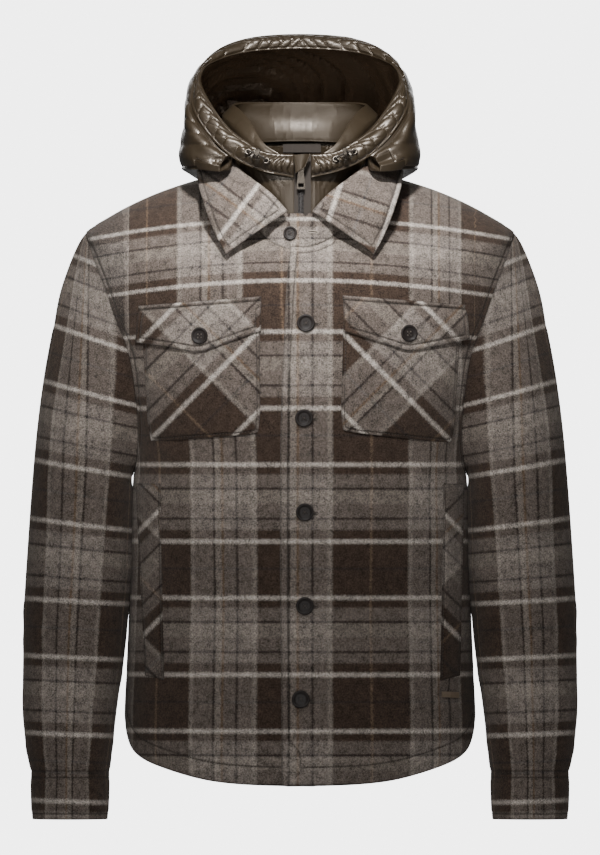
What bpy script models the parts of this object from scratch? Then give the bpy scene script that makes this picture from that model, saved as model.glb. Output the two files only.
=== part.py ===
# Wool overshirt with a zipped, padded and hooded bib, held in the shape it has when worn.
# Metres. X is to the viewer's right, Y to the back, Z up. The front faces -Y.
# The origin is at the neck, level with the seam that joins the hood to the bib in front.
# Flat sizes read from the front view are given in view units of 1.12 mm, as (across, down),
# with the origin at (300, 178).

import bpy
import bmesh
import math
import numpy as np
from mathutils import Vector
from mathutils.bvhtree import BVHTree

for old in list(bpy.data.objects):
    bpy.data.objects.remove(old, do_unlink=True)

MM = 0.001
VIEW_UNIT = 1.12 * MM
VIEW_X = 300.0
VIEW_Y = 178.0

WOOL = 2.0 * MM            # wool wall
CUFF_WALL = 3.0 * MM       # two layers of wool
COLLAR_WALL = 3.0 * MM     # two layers of wool
SEAM_GAP = 0.5 * MM        # room between two pieces sewn edge to edge
LAY_GAP = 1.15 * MM         # room under a piece that lies on a panel
POCKET_WALL = 1.8 * MM
PAD_WALL = 3.6 * MM        # padded walls, full
PAD_SEAM = 3.0 * MM        # padded walls, at their seams
SHOULDER_LEVEL = -59 * MM
UNDERARM_LEVEL = -334 * MM
BUTTON_R = 10.0 * MM
FLAP_BUTTON_R = 9.6 * MM
COLLAR_BUTTON_R = 7.8 * MM
ZIP_X = 1.0 * MM


def view(across, down):
    return (across - VIEW_X) * VIEW_UNIT, (VIEW_Y - down) * VIEW_UNIT


def smooth(t):
    t = np.clip(t, 0.0, 1.0)
    return t * t * (3.0 - 2.0 * t)


def table(rows, x, column=1):
    """Monotone cubic through a table whose first column rises."""
    data = np.array(rows, dtype=float)
    xs = data[:, 0]
    ys = data[:, column]
    h = np.diff(xs)
    d = np.diff(ys) / h
    m = np.zeros(len(xs))
    m[0] = d[0]
    m[-1] = d[-1]
    for i in range(1, len(xs) - 1):
        if d[i - 1] * d[i] > 0:
            w1 = 2 * h[i] + h[i - 1]
            w2 = h[i] + 2 * h[i - 1]
            m[i] = (w1 + w2) / (w1 / d[i - 1] + w2 / d[i])
    x = np.clip(np.asarray(x, dtype=float), xs[0], xs[-1])
    k = np.clip(np.searchsorted(xs, x, side="right") - 1, 0, len(xs) - 2)
    t = (x - xs[k]) / h[k]
    a = (1 + 2 * t) * (1 - t) ** 2 * ys[k]
    b = t * (1 - t) ** 2 * h[k] * m[k]
    c = t * t * (3 - 2 * t) * ys[k + 1]
    e = t * t * (t - 1) * h[k] * m[k + 1]
    return a + b + c + e


def spline(points, t):
    """Smooth curve through points, t from 0 to 1."""
    p = np.array(points, dtype=float)
    n = len(p) - 1
    ext = np.vstack([2 * p[0] - p[1], p, 2 * p[-1] - p[-2]])
    s = min(max(t, 0.0), 1.0) * n
    k = min(int(s), n - 1)
    f = s - k
    a, b, c, d = ext[k], ext[k + 1], ext[k + 2], ext[k + 3]
    return 0.5 * (2 * b + (c - a) * f + (2 * a - 5 * b + 4 * c - d) * f * f
                  + (3 * b - a - 3 * c + d) * f ** 3)


def unit(v):
    v = np.asarray(v, dtype=float)
    return v / np.maximum(np.linalg.norm(v, axis=-1, keepdims=True), 1e-9)


def grid_normals(g, wrap=False):
    if wrap:
        du = np.roll(g, -1, axis=0) - np.roll(g, 1, axis=0)
    else:
        du = np.gradient(g, axis=0)
    dv = np.gradient(g, axis=1)
    return unit(np.cross(du, dv))


MATERIALS = {}


def material(name, colour, rough, metal=0.0):
    if name not in MATERIALS:
        m = bpy.data.materials.new(name)
        m.use_nodes = True
        p = m.node_tree.nodes["Principled BSDF"]
        p.inputs["Base Color"].default_value = (*colour, 1.0)
        p.inputs["Roughness"].default_value = rough
        p.inputs["Metallic"].default_value = metal
        MATERIALS[name] = m
    return MATERIALS[name]


COLOURS = {
    "wool": ((0.16, 0.12, 0.095), 0.95, 0.0),
    "nylon": ((0.085, 0.062, 0.035), 0.35, 0.0),
    "horn": ((0.045, 0.035, 0.03), 0.4, 0.0),
    "metal": ((0.20, 0.18, 0.16), 0.35, 1.0),
    "tape": ((0.05, 0.04, 0.03), 0.8, 0.0),
    "cord": ((0.06, 0.045, 0.03), 0.8, 0.0),
}


def make(name, verts, faces, look):
    """One closed body from points and faces, faces turned out."""
    me = bpy.data.meshes.new(name)
    me.from_pydata([tuple(v) for v in verts], [], faces)
    bm = bmesh.new()
    bm.from_mesh(me)
    bmesh.ops.recalc_face_normals(bm, faces=bm.faces)
    bmesh.ops.triangulate(bm, faces=bm.faces, quad_method="SHORT_EDGE")
    bm.to_mesh(me)
    bm.free()
    ob = bpy.data.objects.new(name, me)
    bpy.context.scene.collection.objects.link(ob)
    colour, rough, metal = COLOURS[look]
    me.materials.append(material(name + "_" + look, colour, rough, metal))
    return ob


def slab(name, outer, inner, look, wrap=False):
    """Wall between two grids of the same size."""
    nu, nv = outer.shape[:2]
    verts = np.vstack([outer.reshape(-1, 3), inner.reshape(-1, 3)])
    half = nu * nv
    faces = []

    def at(i, j, side=0):
        return side * half + (i % nu) * nv + j

    last = nu if wrap else nu - 1
    for i in range(last):
        for j in range(nv - 1):
            faces.append((at(i, j), at(i + 1, j), at(i + 1, j + 1), at(i, j + 1)))
            faces.append((at(i, j, 1), at(i, j + 1, 1), at(i + 1, j + 1, 1), at(i + 1, j, 1)))
        for j in (0, nv - 1):
            q = (at(i, j), at(i, j, 1), at(i + 1, j, 1), at(i + 1, j))
            faces.append(q if j == 0 else q[::-1])
    if not wrap:
        for j in range(nv - 1):
            faces.append((at(0, j), at(0, j + 1), at(0, j + 1, 1), at(0, j, 1)))
            faces.append((at(nu - 1, j), at(nu - 1, j, 1), at(nu - 1, j + 1, 1), at(nu - 1, j + 1)))
    return make(name, verts, faces, look)


# Body, by level: z at the side, z at centre front, z at centre back,
# half width, depth in front, depth behind, squareness
BODY = [
    (-0.690, -0.690, -0.690, 0.1970, 0.1390, 0.1260, 0.86),
    (-0.624, -0.624, -0.624, 0.1970, 0.1390, 0.1250, 0.86),
    (-0.575, -0.575, -0.575, 0.1955, 0.1380, 0.1240, 0.86),
    (-0.500, -0.500, -0.500, 0.1920, 0.1370, 0.1220, 0.86),
    (-0.420, -0.420, -0.420, 0.1895, 0.1380, 0.1240, 0.86),
    (-0.334, -0.334, -0.334, 0.1870, 0.1400, 0.1280, 0.86),
    (-0.288, -0.288, -0.288, 0.1900, 0.1390, 0.1300, 0.86),
    (-0.243, -0.243, -0.243, 0.2030, 0.1370, 0.1320, 0.86),
    (-0.208, -0.208, -0.208, 0.2150, 0.1340, 0.1320, 0.86),
    (-0.176, -0.176, -0.176, 0.2260, 0.1310, 0.1310, 0.86),
    (-0.151, -0.152, -0.152, 0.2320, 0.1280, 0.1290, 0.86),
    (-0.130, -0.134, -0.132, 0.2360, 0.1250, 0.1270, 0.87),
    (-0.098, -0.117, -0.101, 0.2390, 0.1215, 0.1220, 0.88),
    (-0.081, -0.110, -0.0845, 0.2397, 0.1195, 0.1190, 0.88),
    (-0.059, -0.103, -0.063, 0.2380, 0.1175, 0.1150, 0.89),
    (-0.038, -0.096, -0.042, 0.2050, 0.1150, 0.1080, 0.90),
    (-0.018, -0.090, -0.022, 0.1630, 0.1120, 0.0990, 0.92),
    (-0.004, -0.084, -0.003, 0.1240, 0.1090, 0.0890, 0.95),
    (0.006, -0.078, 0.014, 0.0860, 0.1060, 0.0760, 1.00),
]

# Hem of the shirt tails, by distance from the centre line
HEM = [
    (0.000, -0.680),
    (0.072, -0.677),
    (0.110, -0.672),
    (0.142, -0.663),
    (0.170, -0.653),
    (0.189, -0.638),
    (0.1955, -0.618),
    (0.197, -0.604),
]

# Armhole seam in front, by level: distance from the centre line
ARMHOLE = [
    (-0.334, 0.1870),
    (-0.322, 0.1840),
    (-0.302, 0.1815),
    (-0.275, 0.1815),
    (-0.243, 0.1850),
    (-0.208, 0.1890),
    (-0.176, 0.1990),
    (-0.148, 0.2110),
    (-0.120, 0.2190),
    (-0.095, 0.2280),
    (-0.075, 0.2350),
    (-0.059, 0.2380),
]
ARM_LEVELS = [-0.334, -0.320, -0.296, -0.264, -0.228, -0.192, -0.158, -0.126, -0.098, -0.076, -0.059]
LOW_LEVELS = [-0.575, -0.490, -0.400]
TOP_LEVELS = [-0.036, -0.012, 0.006]


def body_point(angle, level):
    """Outside of the body. Angle 0 is centre front, 90 degrees the wearer's left side."""
    a = table(BODY, level, 3)
    p = table(BODY, level, 6)
    s = math.sin(angle)
    c = math.cos(angle)
    x = a * math.copysign(abs(s) ** p, s)
    w = abs(c) ** 1.5
    if c >= 0:
        y = -table(BODY, level, 4) * abs(c) ** p
        z = level + (table(BODY, level, 1) - level) * w
    else:
        y = table(BODY, level, 5) * abs(c) ** p
        z = level + (table(BODY, level, 2) - level) * w
    return np.array([float(x), float(y), float(z)])


def body_normal(angle, level):
    e = 0.004
    du = body_point(angle + e, level) - body_point(angle - e, level)
    dv = body_point(angle, min(level + 0.002, 0.006)) - body_point(angle, level - 0.002)
    return unit(np.cross(du, dv))


def seam_angle(level):
    """Angle of the armhole seam, the side seam or the shoulder seam."""
    if level <= UNDERARM_LEVEL or level >= SHOULDER_LEVEL:
        return math.pi / 2
    ratio = table(ARMHOLE, level) / table(BODY, level, 3)
    p = table(BODY, level, 6)
    return math.asin(min(1.0, float(ratio) ** (1.0 / float(p))))


def front_angle(x, level):
    a = float(table(BODY, level, 3))
    p = float(table(BODY, level, 6))
    return math.copysign(math.asin(min(1.0, (abs(x) / a) ** (1.0 / p))), x)


# Front edge of the wearer's left front, by level at the centre: distance from the centre line
LEFT_EDGE = [
    (-0.690, -0.0190),
    (-0.400, -0.0215),
    (-0.293, -0.0210),
    (-0.136, -0.0150),
    (-0.095, -0.0120),
    (-0.078, -0.0095),
    (-0.063, -0.0050),
    (-0.052, 0.0000),
    (-0.044, 0.0055),
]
RIGHT_EDGE = 0.020
FRONT_COLUMNS = 11
BACK_COLUMNS = 17

# How far the wearer's right front lies behind the left one, by level
LAP = [
    (-0.690, 0.0029),
    (-0.150, 0.0029),
    (-0.090, 0.0058),
    (-0.040, 0.0058),
]


def lap_depth(x, z):
    return float(table(LAP, z)) * float(smooth((x + 0.062) / 0.040))


def hem_level(angle, back=False):
    x = 0.197 * abs(math.sin(angle)) ** 0.86
    z = float(table(HEM, x))
    return z + (0.004 * abs(math.cos(angle)) if back else 0.0)


def body_levels(angle_at):
    """Levels of one column of a panel, from hem to neck."""
    hem = hem_level(angle_at)
    mid = 0.5 * hem + 0.5 * -0.575
    return [hem, mid] + LOW_LEVELS + ARM_LEVELS + TOP_LEVELS


def front_panel(side, edge_in):
    """Front between its front edge and the side, armhole and shoulder seams."""
    rows = 2 + len(LOW_LEVELS) + len(ARM_LEVELS) + len(TOP_LEVELS)
    outer = np.zeros((FRONT_COLUMNS, rows, 3))
    inner = np.zeros((FRONT_COLUMNS, rows, 3))
    for j in range(rows):
        for i in range(FRONT_COLUMNS):
            f = i / (FRONT_COLUMNS - 1)
            f = 0.75 * f + 0.25 * math.sin(0.5 * math.pi * f)
            level = body_levels(0.0)[j]
            for turn in range(3):
                end = seam_angle(level)
                gap = 0.5 * SEAM_GAP / max(0.06, float(table(BODY, level, 4)))
                start = front_angle(edge_in(level), level)
                angle = start + ((end - gap) * side - start) * f
                level = body_levels(angle)[j]
            p = body_point(angle, level)
            n = body_normal(angle, level)
            if side < 0:
                p = p - n * lap_depth(p[0], p[2])
            outer[i, j] = p
            inner[i, j] = p - n * WOOL
    return outer, inner


def front_left_edge(level):
    z = float(table(BODY, level, 1))
    return float(table(LEFT_EDGE, z))


def front_right_edge(level):
    return RIGHT_EDGE


left_outer, left_inner = front_panel(1, front_left_edge)
right_outer, right_inner = front_panel(-1, front_right_edge)
front_pieces = [slab("front_left", left_outer, left_inner, "wool"),
                slab("front_right", right_outer, right_inner, "wool")]


def surface_of(pieces):
    verts = []
    faces = []
    for ob in pieces:
        base = len(verts)
        verts += [v.co.copy() for v in ob.data.vertices]
        faces += [tuple(base + k for k in p.vertices) for p in ob.data.polygons]
    return BVHTree.FromPolygons(verts, faces)


FRONT_SURFACE = surface_of(front_pieces)


def on_front(across, down, lift):
    """A point of the front panels, moved out by lift."""
    x, z = view(across, down)
    n = body_normal(front_angle(x, z), z)
    hit = FRONT_SURFACE.ray_cast(Vector((x, -0.5, z)), Vector((0, 1, 0)))[0]
    return np.array(hit) + n * lift


def back_panel():
    rows = left_outer.shape[1]
    outer = np.zeros((BACK_COLUMNS, rows, 3))
    inner = np.zeros((BACK_COLUMNS, rows, 3))
    for j in range(rows):
        for i in range(BACK_COLUMNS):
            f = 2.0 * i / (BACK_COLUMNS - 1) - 1.0
            f = 0.75 * f + 0.25 * math.sin(0.5 * math.pi * f)
            level = body_levels(0.0)[j]
            for turn in range(3):
                end = seam_angle(level)
                gap = 0.5 * SEAM_GAP / max(0.06, float(table(BODY, level, 5)))
                angle = math.pi + (end - gap) * f
                level = body_levels(angle)[j]
                if j < 2:
                    level = level + 0.004 * abs(math.cos(angle)) * (1 - 0.5 * j)
            p = body_point(angle, level)
            n = body_normal(angle, level)
            outer[i, j] = p
            inner[i, j] = p - n * WOOL
    return outer, inner


back_outer, back_inner = back_panel()
slab("back", back_outer, back_inner, "wool")

# Sleeve, by level: outer edge, inner edge, middle in depth, half depth
SLEEVE = [
    (-0.6635, 0.3018, 0.2134, -0.0420, 0.0460),
    (-0.6500, 0.3040, 0.2120, -0.0400, 0.0485),
    (-0.6300, 0.3070, 0.2100, -0.0370, 0.0505),
    (-0.6070, 0.3090, 0.2083, -0.0335, 0.0520),
    (-0.5740, 0.3090, 0.2040, -0.0280, 0.0545),
    (-0.5450, 0.3095, 0.2005, -0.0235, 0.0565),
    (-0.5180, 0.3098, 0.1978, -0.0195, 0.0590),
    (-0.4700, 0.3080, 0.1950, -0.0135, 0.0620),
    (-0.4200, 0.3055, 0.1925, -0.0085, 0.0650),
    (-0.3600, 0.3013, 0.1903, -0.0045, 0.0680),
    (-0.3300, 0.2990, 0.1893, -0.0030, 0.0700),
    (-0.3000, 0.2963, 0.1880, -0.0020, 0.0710),
]
CAP_STEPS = [0.0, 0.12, 0.30, 0.52, 0.76, 1.0]
SLEEVE_LEVELS = [-0.392, -0.442, -0.486, -0.528, -0.572, -0.620, -0.6635]

# Soft folds of a sleeve: level, angle round it, length down, spread round, slant, height
SLEEVE_FOLDS = [
    (-0.470, 60, 0.016, 60, -0.020, 0.0022),
    (-0.512, 95, 0.014, 70, 0.018, 0.0026),
    (-0.560, 130, 0.016, 60, -0.018, 0.0024),
    (-0.638, 100, 0.012, 80, 0.006, 0.0022),
]


def sleeve_point(turn, level):
    """Outside of the hanging part. Turn 0 faces the body, 90 degrees is in front."""
    xo = float(table(SLEEVE, level, 1))
    xi = float(table(SLEEVE, level, 2))
    y = float(table(SLEEVE, level, 3)) - float(table(SLEEVE, level, 4)) * math.sin(turn)
    x = 0.5 * (xo + xi) - 0.5 * (xo - xi) * math.cos(turn)
    return np.array([x, y, level])


def sleeve_fold(turn, level):
    total = 0.0
    deg = math.degrees(turn)
    for at, mid, tall, spread, slant, height in SLEEVE_FOLDS:
        off = (deg - mid + 180) % 360 - 180
        drop = (level - at - slant * off / 60.0) / tall
        total += height * math.exp(-drop * drop) * math.exp(-(off / spread) ** 2)
    return total


def sleeve(side):
    """Tube from the armhole loop down to the cuff seam."""
    front_o, front_i = (left_outer, left_inner) if side > 0 else (right_outer, right_inner)
    first = 2 + len(LOW_LEVELS)
    n = len(ARM_LEVELS)
    back_col = -1 if side < 0 else 0
    back_next = -2 if side < 0 else 1
    front_part = []
    back_part = []
    for k in range(n):
        j = first + k
        fo, fi = front_o[-1, j], front_i[-1, j]
        bo, bi = back_outer[back_col, j], back_inner[back_col, j]
        fd = unit(front_o[-1, j] - front_o[-2, j])
        bd = unit(back_outer[back_col, j] - back_outer[back_next, j])
        if k in (0, n - 1):
            way = np.array([0.75 * side, 0, -0.66]) if k else np.array([0.90 * side, 0, -0.30])
            front_part.append((0.5 * (fo + bo), 0.5 * (fi + bi), way))
        else:
            front_part.append((fo, fi, fd))
            back_part.append((bo, bi, bd))
    loop = front_part + back_part[::-1]
    count = len(loop)
    rows = len(CAP_STEPS) + len(SLEEVE_LEVELS)
    outer = np.zeros((count, rows, 3))
    start_inner = np.zeros((count, 3))
    for i in range(count):
        turn = 2 * math.pi * i / count
        po, pi, way = loop[i]
        ahead = unit(loop[(i + 1) % count][0] - loop[i - 1][0])
        way = unit(way - ahead * np.dot(way, ahead))
        low = min(turn, 2 * math.pi - turn)
        fold_in = math.exp(-(math.degrees(low) / 36.0) ** 2)
        wall = unit((1 - fold_in) * unit(pi - po) + fold_in * np.array([0.15 * side, 0, 1.0])) * WOOL
        shift = (1 - fold_in) * way * SEAM_GAP + fold_in * np.array([0.3 * side, 0, 1.0]) * 0.0008
        way = unit((1 - fold_in) * way + fold_in * np.array([0.90 * side, 0, -0.30]))
        po = po + shift
        start_inner[i] = po + wall
        end_level = -0.3275 - 0.0275 * math.cos(turn)
        end = sleeve_point(turn, end_level)
        end[0] *= side
        below = sleeve_point(turn, end_level - 0.02)
        below[0] *= side
        down = unit(below - end)
        reach = np.linalg.norm(end - po)
        t0 = way * reach * 0.47
        t1 = down * reach * 1.03
        for k, s in enumerate(CAP_STEPS):
            h00 = (1 + 2 * s) * (1 - s) ** 2
            h10 = s * (1 - s) ** 2
            h01 = s * s * (3 - 2 * s)
            h11 = s * s * (s - 1)
            outer[i, k] = h00 * po + h10 * t0 + h01 * end + h11 * t1
        for k, level in enumerate(SLEEVE_LEVELS):
            f = (k + 1) / len(SLEEVE_LEVELS)
            tilt = level - 0.0275 * math.cos(turn) * (1 - float(smooth(f * 1.6)))
            p = sleeve_point(turn, max(tilt, -0.6635))
            p[0] *= side
            outer[i, len(CAP_STEPS) + k] = p
    normal = grid_normals(outer, wrap=True)
    middle = outer.mean(axis=0, keepdims=True)
    if np.sum(normal * (outer - middle)) < 0:
        normal = -normal
    for i in range(count):
        turn = 2 * math.pi * i / count
        for k in range(len(CAP_STEPS), rows - 1):
            outer[i, k] += normal[i, k] * sleeve_fold(turn, outer[i, k][2])
    inner = outer - normal * WOOL
    inner[:, 0] = start_inner
    return outer, inner


def band_ring(levels, side, grow):
    count = 2 * len(ARM_LEVELS) - 2
    outer = np.zeros((count, len(levels), 3))
    for i in range(count):
        turn = 2 * math.pi * i / count
        for k, (level, xo, xi, yc, hd) in enumerate(levels):
            x = 0.5 * (xo + xi) - (0.5 * (xo - xi) + grow) * math.cos(turn)
            outer[i, k] = (x * side, yc - (hd + grow) * math.sin(turn), level)
    normal = grid_normals(outer, wrap=True)
    middle = outer.mean(axis=0, keepdims=True)
    if np.sum(normal * (outer - middle)) < 0:
        normal = -normal
    return outer, outer - normal * CUFF_WALL


# Cuff, by level: outer edge, inner edge, middle in depth, half depth
CUFF = [
    (-0.6640, 0.3012, 0.2140, -0.0420, 0.0455),
    (-0.6900, 0.3012, 0.2143, -0.0437, 0.0450),
    (-0.7180, 0.3000, 0.2156, -0.0460, 0.0440),
]

for side, word in ((-1, "right"), (1, "left")):
    so, si = sleeve(side)
    slab("sleeve_" + word, so, si, "wool", wrap=True)
    co, ci = band_ring(CUFF, side, 0.0)
    slab("cuff_" + word, co, ci, "wool", wrap=True)

# Collar, half of it from the front end to the centre back:
# fold line at the top of the stand, free edge of the fall
FOLD_HALF = [
    (0.0140, -0.1010, -0.0400),
    (0.0300, -0.0985, -0.0210),
    (0.0470, -0.0930, -0.0070),
    (0.0610, -0.0830, 0.0030),
    (0.0750, -0.0610, 0.0170),
    (0.0840, -0.0330, 0.0300),
    (0.0860, -0.0050, 0.0370),
    (0.0800, 0.0280, 0.0410),
    (0.0600, 0.0570, 0.0440),
    (0.0320, 0.0720, 0.0460),
    (0.0000, 0.0780, 0.0465),
]
EDGE_HALF = [
    (0.0825, -0.1180, -0.0850),
    (0.0930, -0.1120, -0.0660),
    (0.1010, -0.1050, -0.0480),
    (0.1070, -0.0940, -0.0300),
    (0.1125, -0.0760, -0.0130),
    (0.1150, -0.0480, 0.0020),
    (0.1150, -0.0080, 0.0090),
    (0.1080, 0.0480, 0.0020),
    (0.0860, 0.0890, -0.0080),
    (0.0460, 0.1080, -0.0110),
    (0.0000, 0.1120, -0.0120),
]


def half_to_whole(half, steps):
    """Points from the wearer's right front end round the back to the left front end."""
    out = []
    for k in range(2 * steps + 1):
        f = k / steps - 1.0
        p = spline(half, 1.0 - abs(f))
        out.append(np.array([p[0] * (1 if f > 0 else -1 if f < 0 else 0), p[1], p[2]]))
    return out


COLLAR_STEPS = 12
NECK_LEVEL = 0.006


def neck_at(angle):
    """Foot of the stand, just above the neck edge of the body."""
    p = body_point(angle, NECK_LEVEL)
    return p + np.array([0.0, 0.0, 0.0009])


fold = half_to_whole(FOLD_HALF, COLLAR_STEPS)
edge = half_to_whole(EDGE_HALF, COLLAR_STEPS)


# Front ends of the stand: foot across, top across, top down
STAND_RIGHT_END = [(0.0190, 0.0040, -0.0405), (0.0020, -0.0060, -0.0400)]
STAND_LEFT_END = [(0.0030, 0.0100, -0.0400), (-0.0090, 0.0056, -0.0440)]


def stand():
    """Band between neck seam and fold line, its left end lapping over its right end."""
    feet = []
    tops = []
    for foot_x, top_x, top_z in STAND_RIGHT_END:
        feet.append(neck_at(math.asin(foot_x / 0.086)))
        tops.append(np.array([top_x, -0.1012, top_z]))
    for k, top in enumerate(fold):
        start = math.asin(-0.014 / 0.086)
        end = -2 * math.pi - start
        feet.append(neck_at(start + (end - start) * (k / (len(fold) - 1))))
        tops.append(top)
    for foot_x, top_x, top_z in STAND_LEFT_END:
        feet.append(neck_at(math.asin(foot_x / 0.086)))
        tops.append(np.array([top_x, -0.1012, top_z]))
    rows = 3
    outer = np.zeros((len(feet), rows, 3))
    for i in range(len(feet)):
        for j in range(rows):
            f = j / (rows - 1)
            outer[i, j] = feet[i] * (1 - f) + tops[i] * f
    half = len(feet) // 2
    for i in range(half):
        for j in range(rows):
            p = outer[i, j]
            if p[1] < 0:
                tucked = float(smooth((p[0] + 0.062) / 0.040))
                outer[i, j][1] += 0.0058 * tucked
                if j == 0:
                    outer[i, j][2] -= 0.0036 * tucked
    normal = grid_normals(outer)
    centre = np.array([0.0, -0.01, 0.0])
    if np.sum(normal * (outer - centre)) < 0:
        normal = -normal
    return outer, outer - normal * WOOL


so, si = stand()
slab("collar_stand", so, si, "wool")


def leaf():
    """Fall of the collar, from the fold line out over the shoulders."""
    rows = 6
    outer = np.zeros((len(fold), rows, 3))
    for i in range(len(fold)):
        f = fold[i]
        e = edge[i]
        out = unit(np.array([f[0], f[1] + 0.01, 0.0]))
        for j in range(rows):
            t = j / (rows - 1)
            p = f * (1 - t) + e * t
            p = p + out * (0.0034 * (1 - t) ** 2 + 0.005 * t * (1 - t))
            p[2] += 0.0026 * (1 - t) ** 3 + 0.008 * t * (1 - t)
            outer[i, j] = p
    for i in range(len(fold)):
        for j in range(rows):
            p = outer[i, j]
            if p[1] < 0 and p[2] < -0.004:
                level = table_level(p[0], p[2])
                bound = body_point(front_angle(p[0], level), level)[1] - COLLAR_WALL - 0.0016
                p[1] = min(p[1], bound)
    normal = grid_normals(outer)
    centre = np.array([0.0, -0.01, -0.05])
    if np.sum(normal * (outer - centre)) < 0:
        normal = -normal
    return outer, outer - normal * COLLAR_WALL


def table_level(x, z):
    """Level whose ring passes the front at (x, z)."""
    level = z
    for turn in range(12):
        p = body_point(front_angle(x, level), level)
        level = level + (z - p[2])
        level = max(-0.68, min(0.006, level))
    return level


so, si = leaf()
slab("collar_leaf", so, si, "wool")

# Chest pockets in view units: bag corners, flap corners with its point, ridge ends, button
POCKETS = {
    "right": {
        "bag": ((143.5, 323), (259.5, 319), (151, 441.6), (260, 433.5)),
        "flap": ((140.5, 310.8), (261, 301.8), (139, 341.6), (202, 352), (261, 331)),
        "ridge": ((140.5, 306), (261, 297)),
        "button": (202, 336.5),
    },
    "left": {
        "bag": ((343.5, 319), (459, 323), (341, 431), (451, 443)),
        "flap": ((343.5, 300.8), (464, 309.8), (344, 332), (407.5, 351), (466, 338.6)),
        "ridge": ((343, 296), (463, 305)),
        "button": (406.5, 334),
    },
}


def corner(four, s, t):
    a, b, c, d = [np.array(q, dtype=float) for q in four]
    return (a * (1 - s) + b * s) * (1 - t) + (c * (1 - s) + d * s) * t


def laid(name, cols, rows, place, look, wall):
    """Piece that follows the front. place(s, t) gives across, down and the lift of its outside."""
    outer = np.zeros((cols, rows, 3))
    inner = np.zeros((cols, rows, 3))
    for i in range(cols):
        for j in range(rows):
            across, down, lift = place(i / (cols - 1), j / (rows - 1))
            outer[i, j] = on_front(across, down, lift)
            inner[i, j] = on_front(across, down, lift - wall)
    return slab(name, outer, inner, look)


def lathe(name, profile, centre, way, look, segs=20):
    """Body turned round an axis. profile: (radius, height) pairs, from the axis to the axis."""
    way = unit(way)
    side = unit(np.cross(way, [0.31, 0.2, 0.93]))
    other = np.cross(way, side)
    verts = []
    faces = []
    rings = []
    for r, h in profile:
        base = np.array(centre) + way * h
        if r < 1e-7:
            rings.append([len(verts)])
            verts.append(base)
            continue
        ring = []
        for k in range(segs):
            a = 2 * math.pi * k / segs
            ring.append(len(verts))
            verts.append(base + side * r * math.cos(a) + other * r * math.sin(a))
        rings.append(ring)
    for a, b in zip(rings[:-1], rings[1:]):
        for k in range(segs):
            n = (k + 1) % segs
            if len(a) == 1:
                faces.append((a[0], b[k], b[n]))
            elif len(b) == 1:
                faces.append((a[k], b[0], a[n]))
            else:
                faces.append((a[k], b[k], b[n], a[n]))
    return make(name, verts, faces, look)


def button(name, across, down, lift, radius, segs=16):
    """Turned button with a raised rim, on the front at a given lift."""
    x, z = view(across, down)
    n = body_normal(front_angle(x, z), z)
    centre = on_front(across, down, lift)
    k = radius / BUTTON_R
    profile = [
        (0.0, 0.0),
        (0.0078 * k, 0.0),
        (0.0100 * k, 0.0017),
        (0.0088 * k, 0.0027),
        (0.0064 * k, 0.0017),
        (0.0, 0.0015),
    ]
    return lathe(name, profile, centre, n, "horn", segs)


BAG_LIFT = LAY_GAP + POCKET_WALL

for word, spec in POCKETS.items():
    def bag_place(s, t, spec=spec):
        ac, dn = corner(spec["bag"], s, t)
        puff = 0.0022 * math.sin(math.pi * s) * math.sin(math.pi * t) ** 0.8
        trim = 2.2 * max(0.0, t - 0.9) / 0.1 * max(0.0, abs(2 * s - 1) - 0.8) / 0.2
        return ac + (trim if s < 0.5 else -trim), dn - trim * 0.6, BAG_LIFT + puff

    def flap_place(s, t, spec=spec):
        tl, tr, bl, tip, br = [np.array(q, dtype=float) for q in spec["flap"]]
        top = tl * (1 - s) + tr * s
        at = (tip[0] - bl[0]) / (br[0] - bl[0])
        if s < at:
            low = bl + (tip - bl) * (s / at)
        else:
            low = tip + (br - tip) * ((s - at) / (1 - at))
        p = top * (1 - t) + low * t
        rise = float(smooth(t / 0.36))
        puff = 0.0026 * math.sin(math.pi * s)
        return p[0], p[1], BAG_LIFT + rise * (POCKET_WALL + 0.0015 + puff)

    def ridge_place(s, t, spec=spec):
        a, b = [np.array(q, dtype=float) for q in spec["ridge"]]
        p = a * (1 - s) + b * s
        return p[0], p[1] + 4.2 * t, LAY_GAP + 0.0026 - 0.0006 * abs(2 * t - 1)

    laid("pocket_bag_" + word, 8, 7, bag_place, "wool", POCKET_WALL)
    laid("pocket_flap_" + word, 9, 4, flap_place, "wool", POCKET_WALL)
    laid("flap_ridge_" + word, 8, 3, ridge_place, "wool", 0.0022)
    ac, dn = spec["button"]
    button("button_flap_" + word, ac, dn, BAG_LIFT + POCKET_WALL + 0.0014 + 0.0026 + 0.0007, FLAP_BUTTON_R)

# Hand pocket welts in view units
WELTS = {
    "right": ((138, 484), (162, 484), (147, 675), (165, 679)),
    "left": ((442, 484), (462, 484), (439, 680), (458, 675)),
}

for word, four in WELTS.items():
    laid("welt_" + word, 4, 9, lambda s, t, four=four: (*corner(four, s, t), BAG_LIFT), "wool", POCKET_WALL)

FRONT_BUTTONS = [(305.9, 323.5), (304.0, 418.2), (304.8, 512.0), (304.8, 605.5), (300.7, 698.8)]
for k, (ac, dn) in enumerate(FRONT_BUTTONS):
    button("button_front_%d" % (k + 1), ac, dn, 0.0006, BUTTON_R)


def plate_place(s, t):
    return 440.7 + 17.0 * s, 691.2 + 5.8 * t + 1.0 * s, LAY_GAP + 0.0010


laid("hem_plate", 3, 2, plate_place, "metal", 0.0010)

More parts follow.
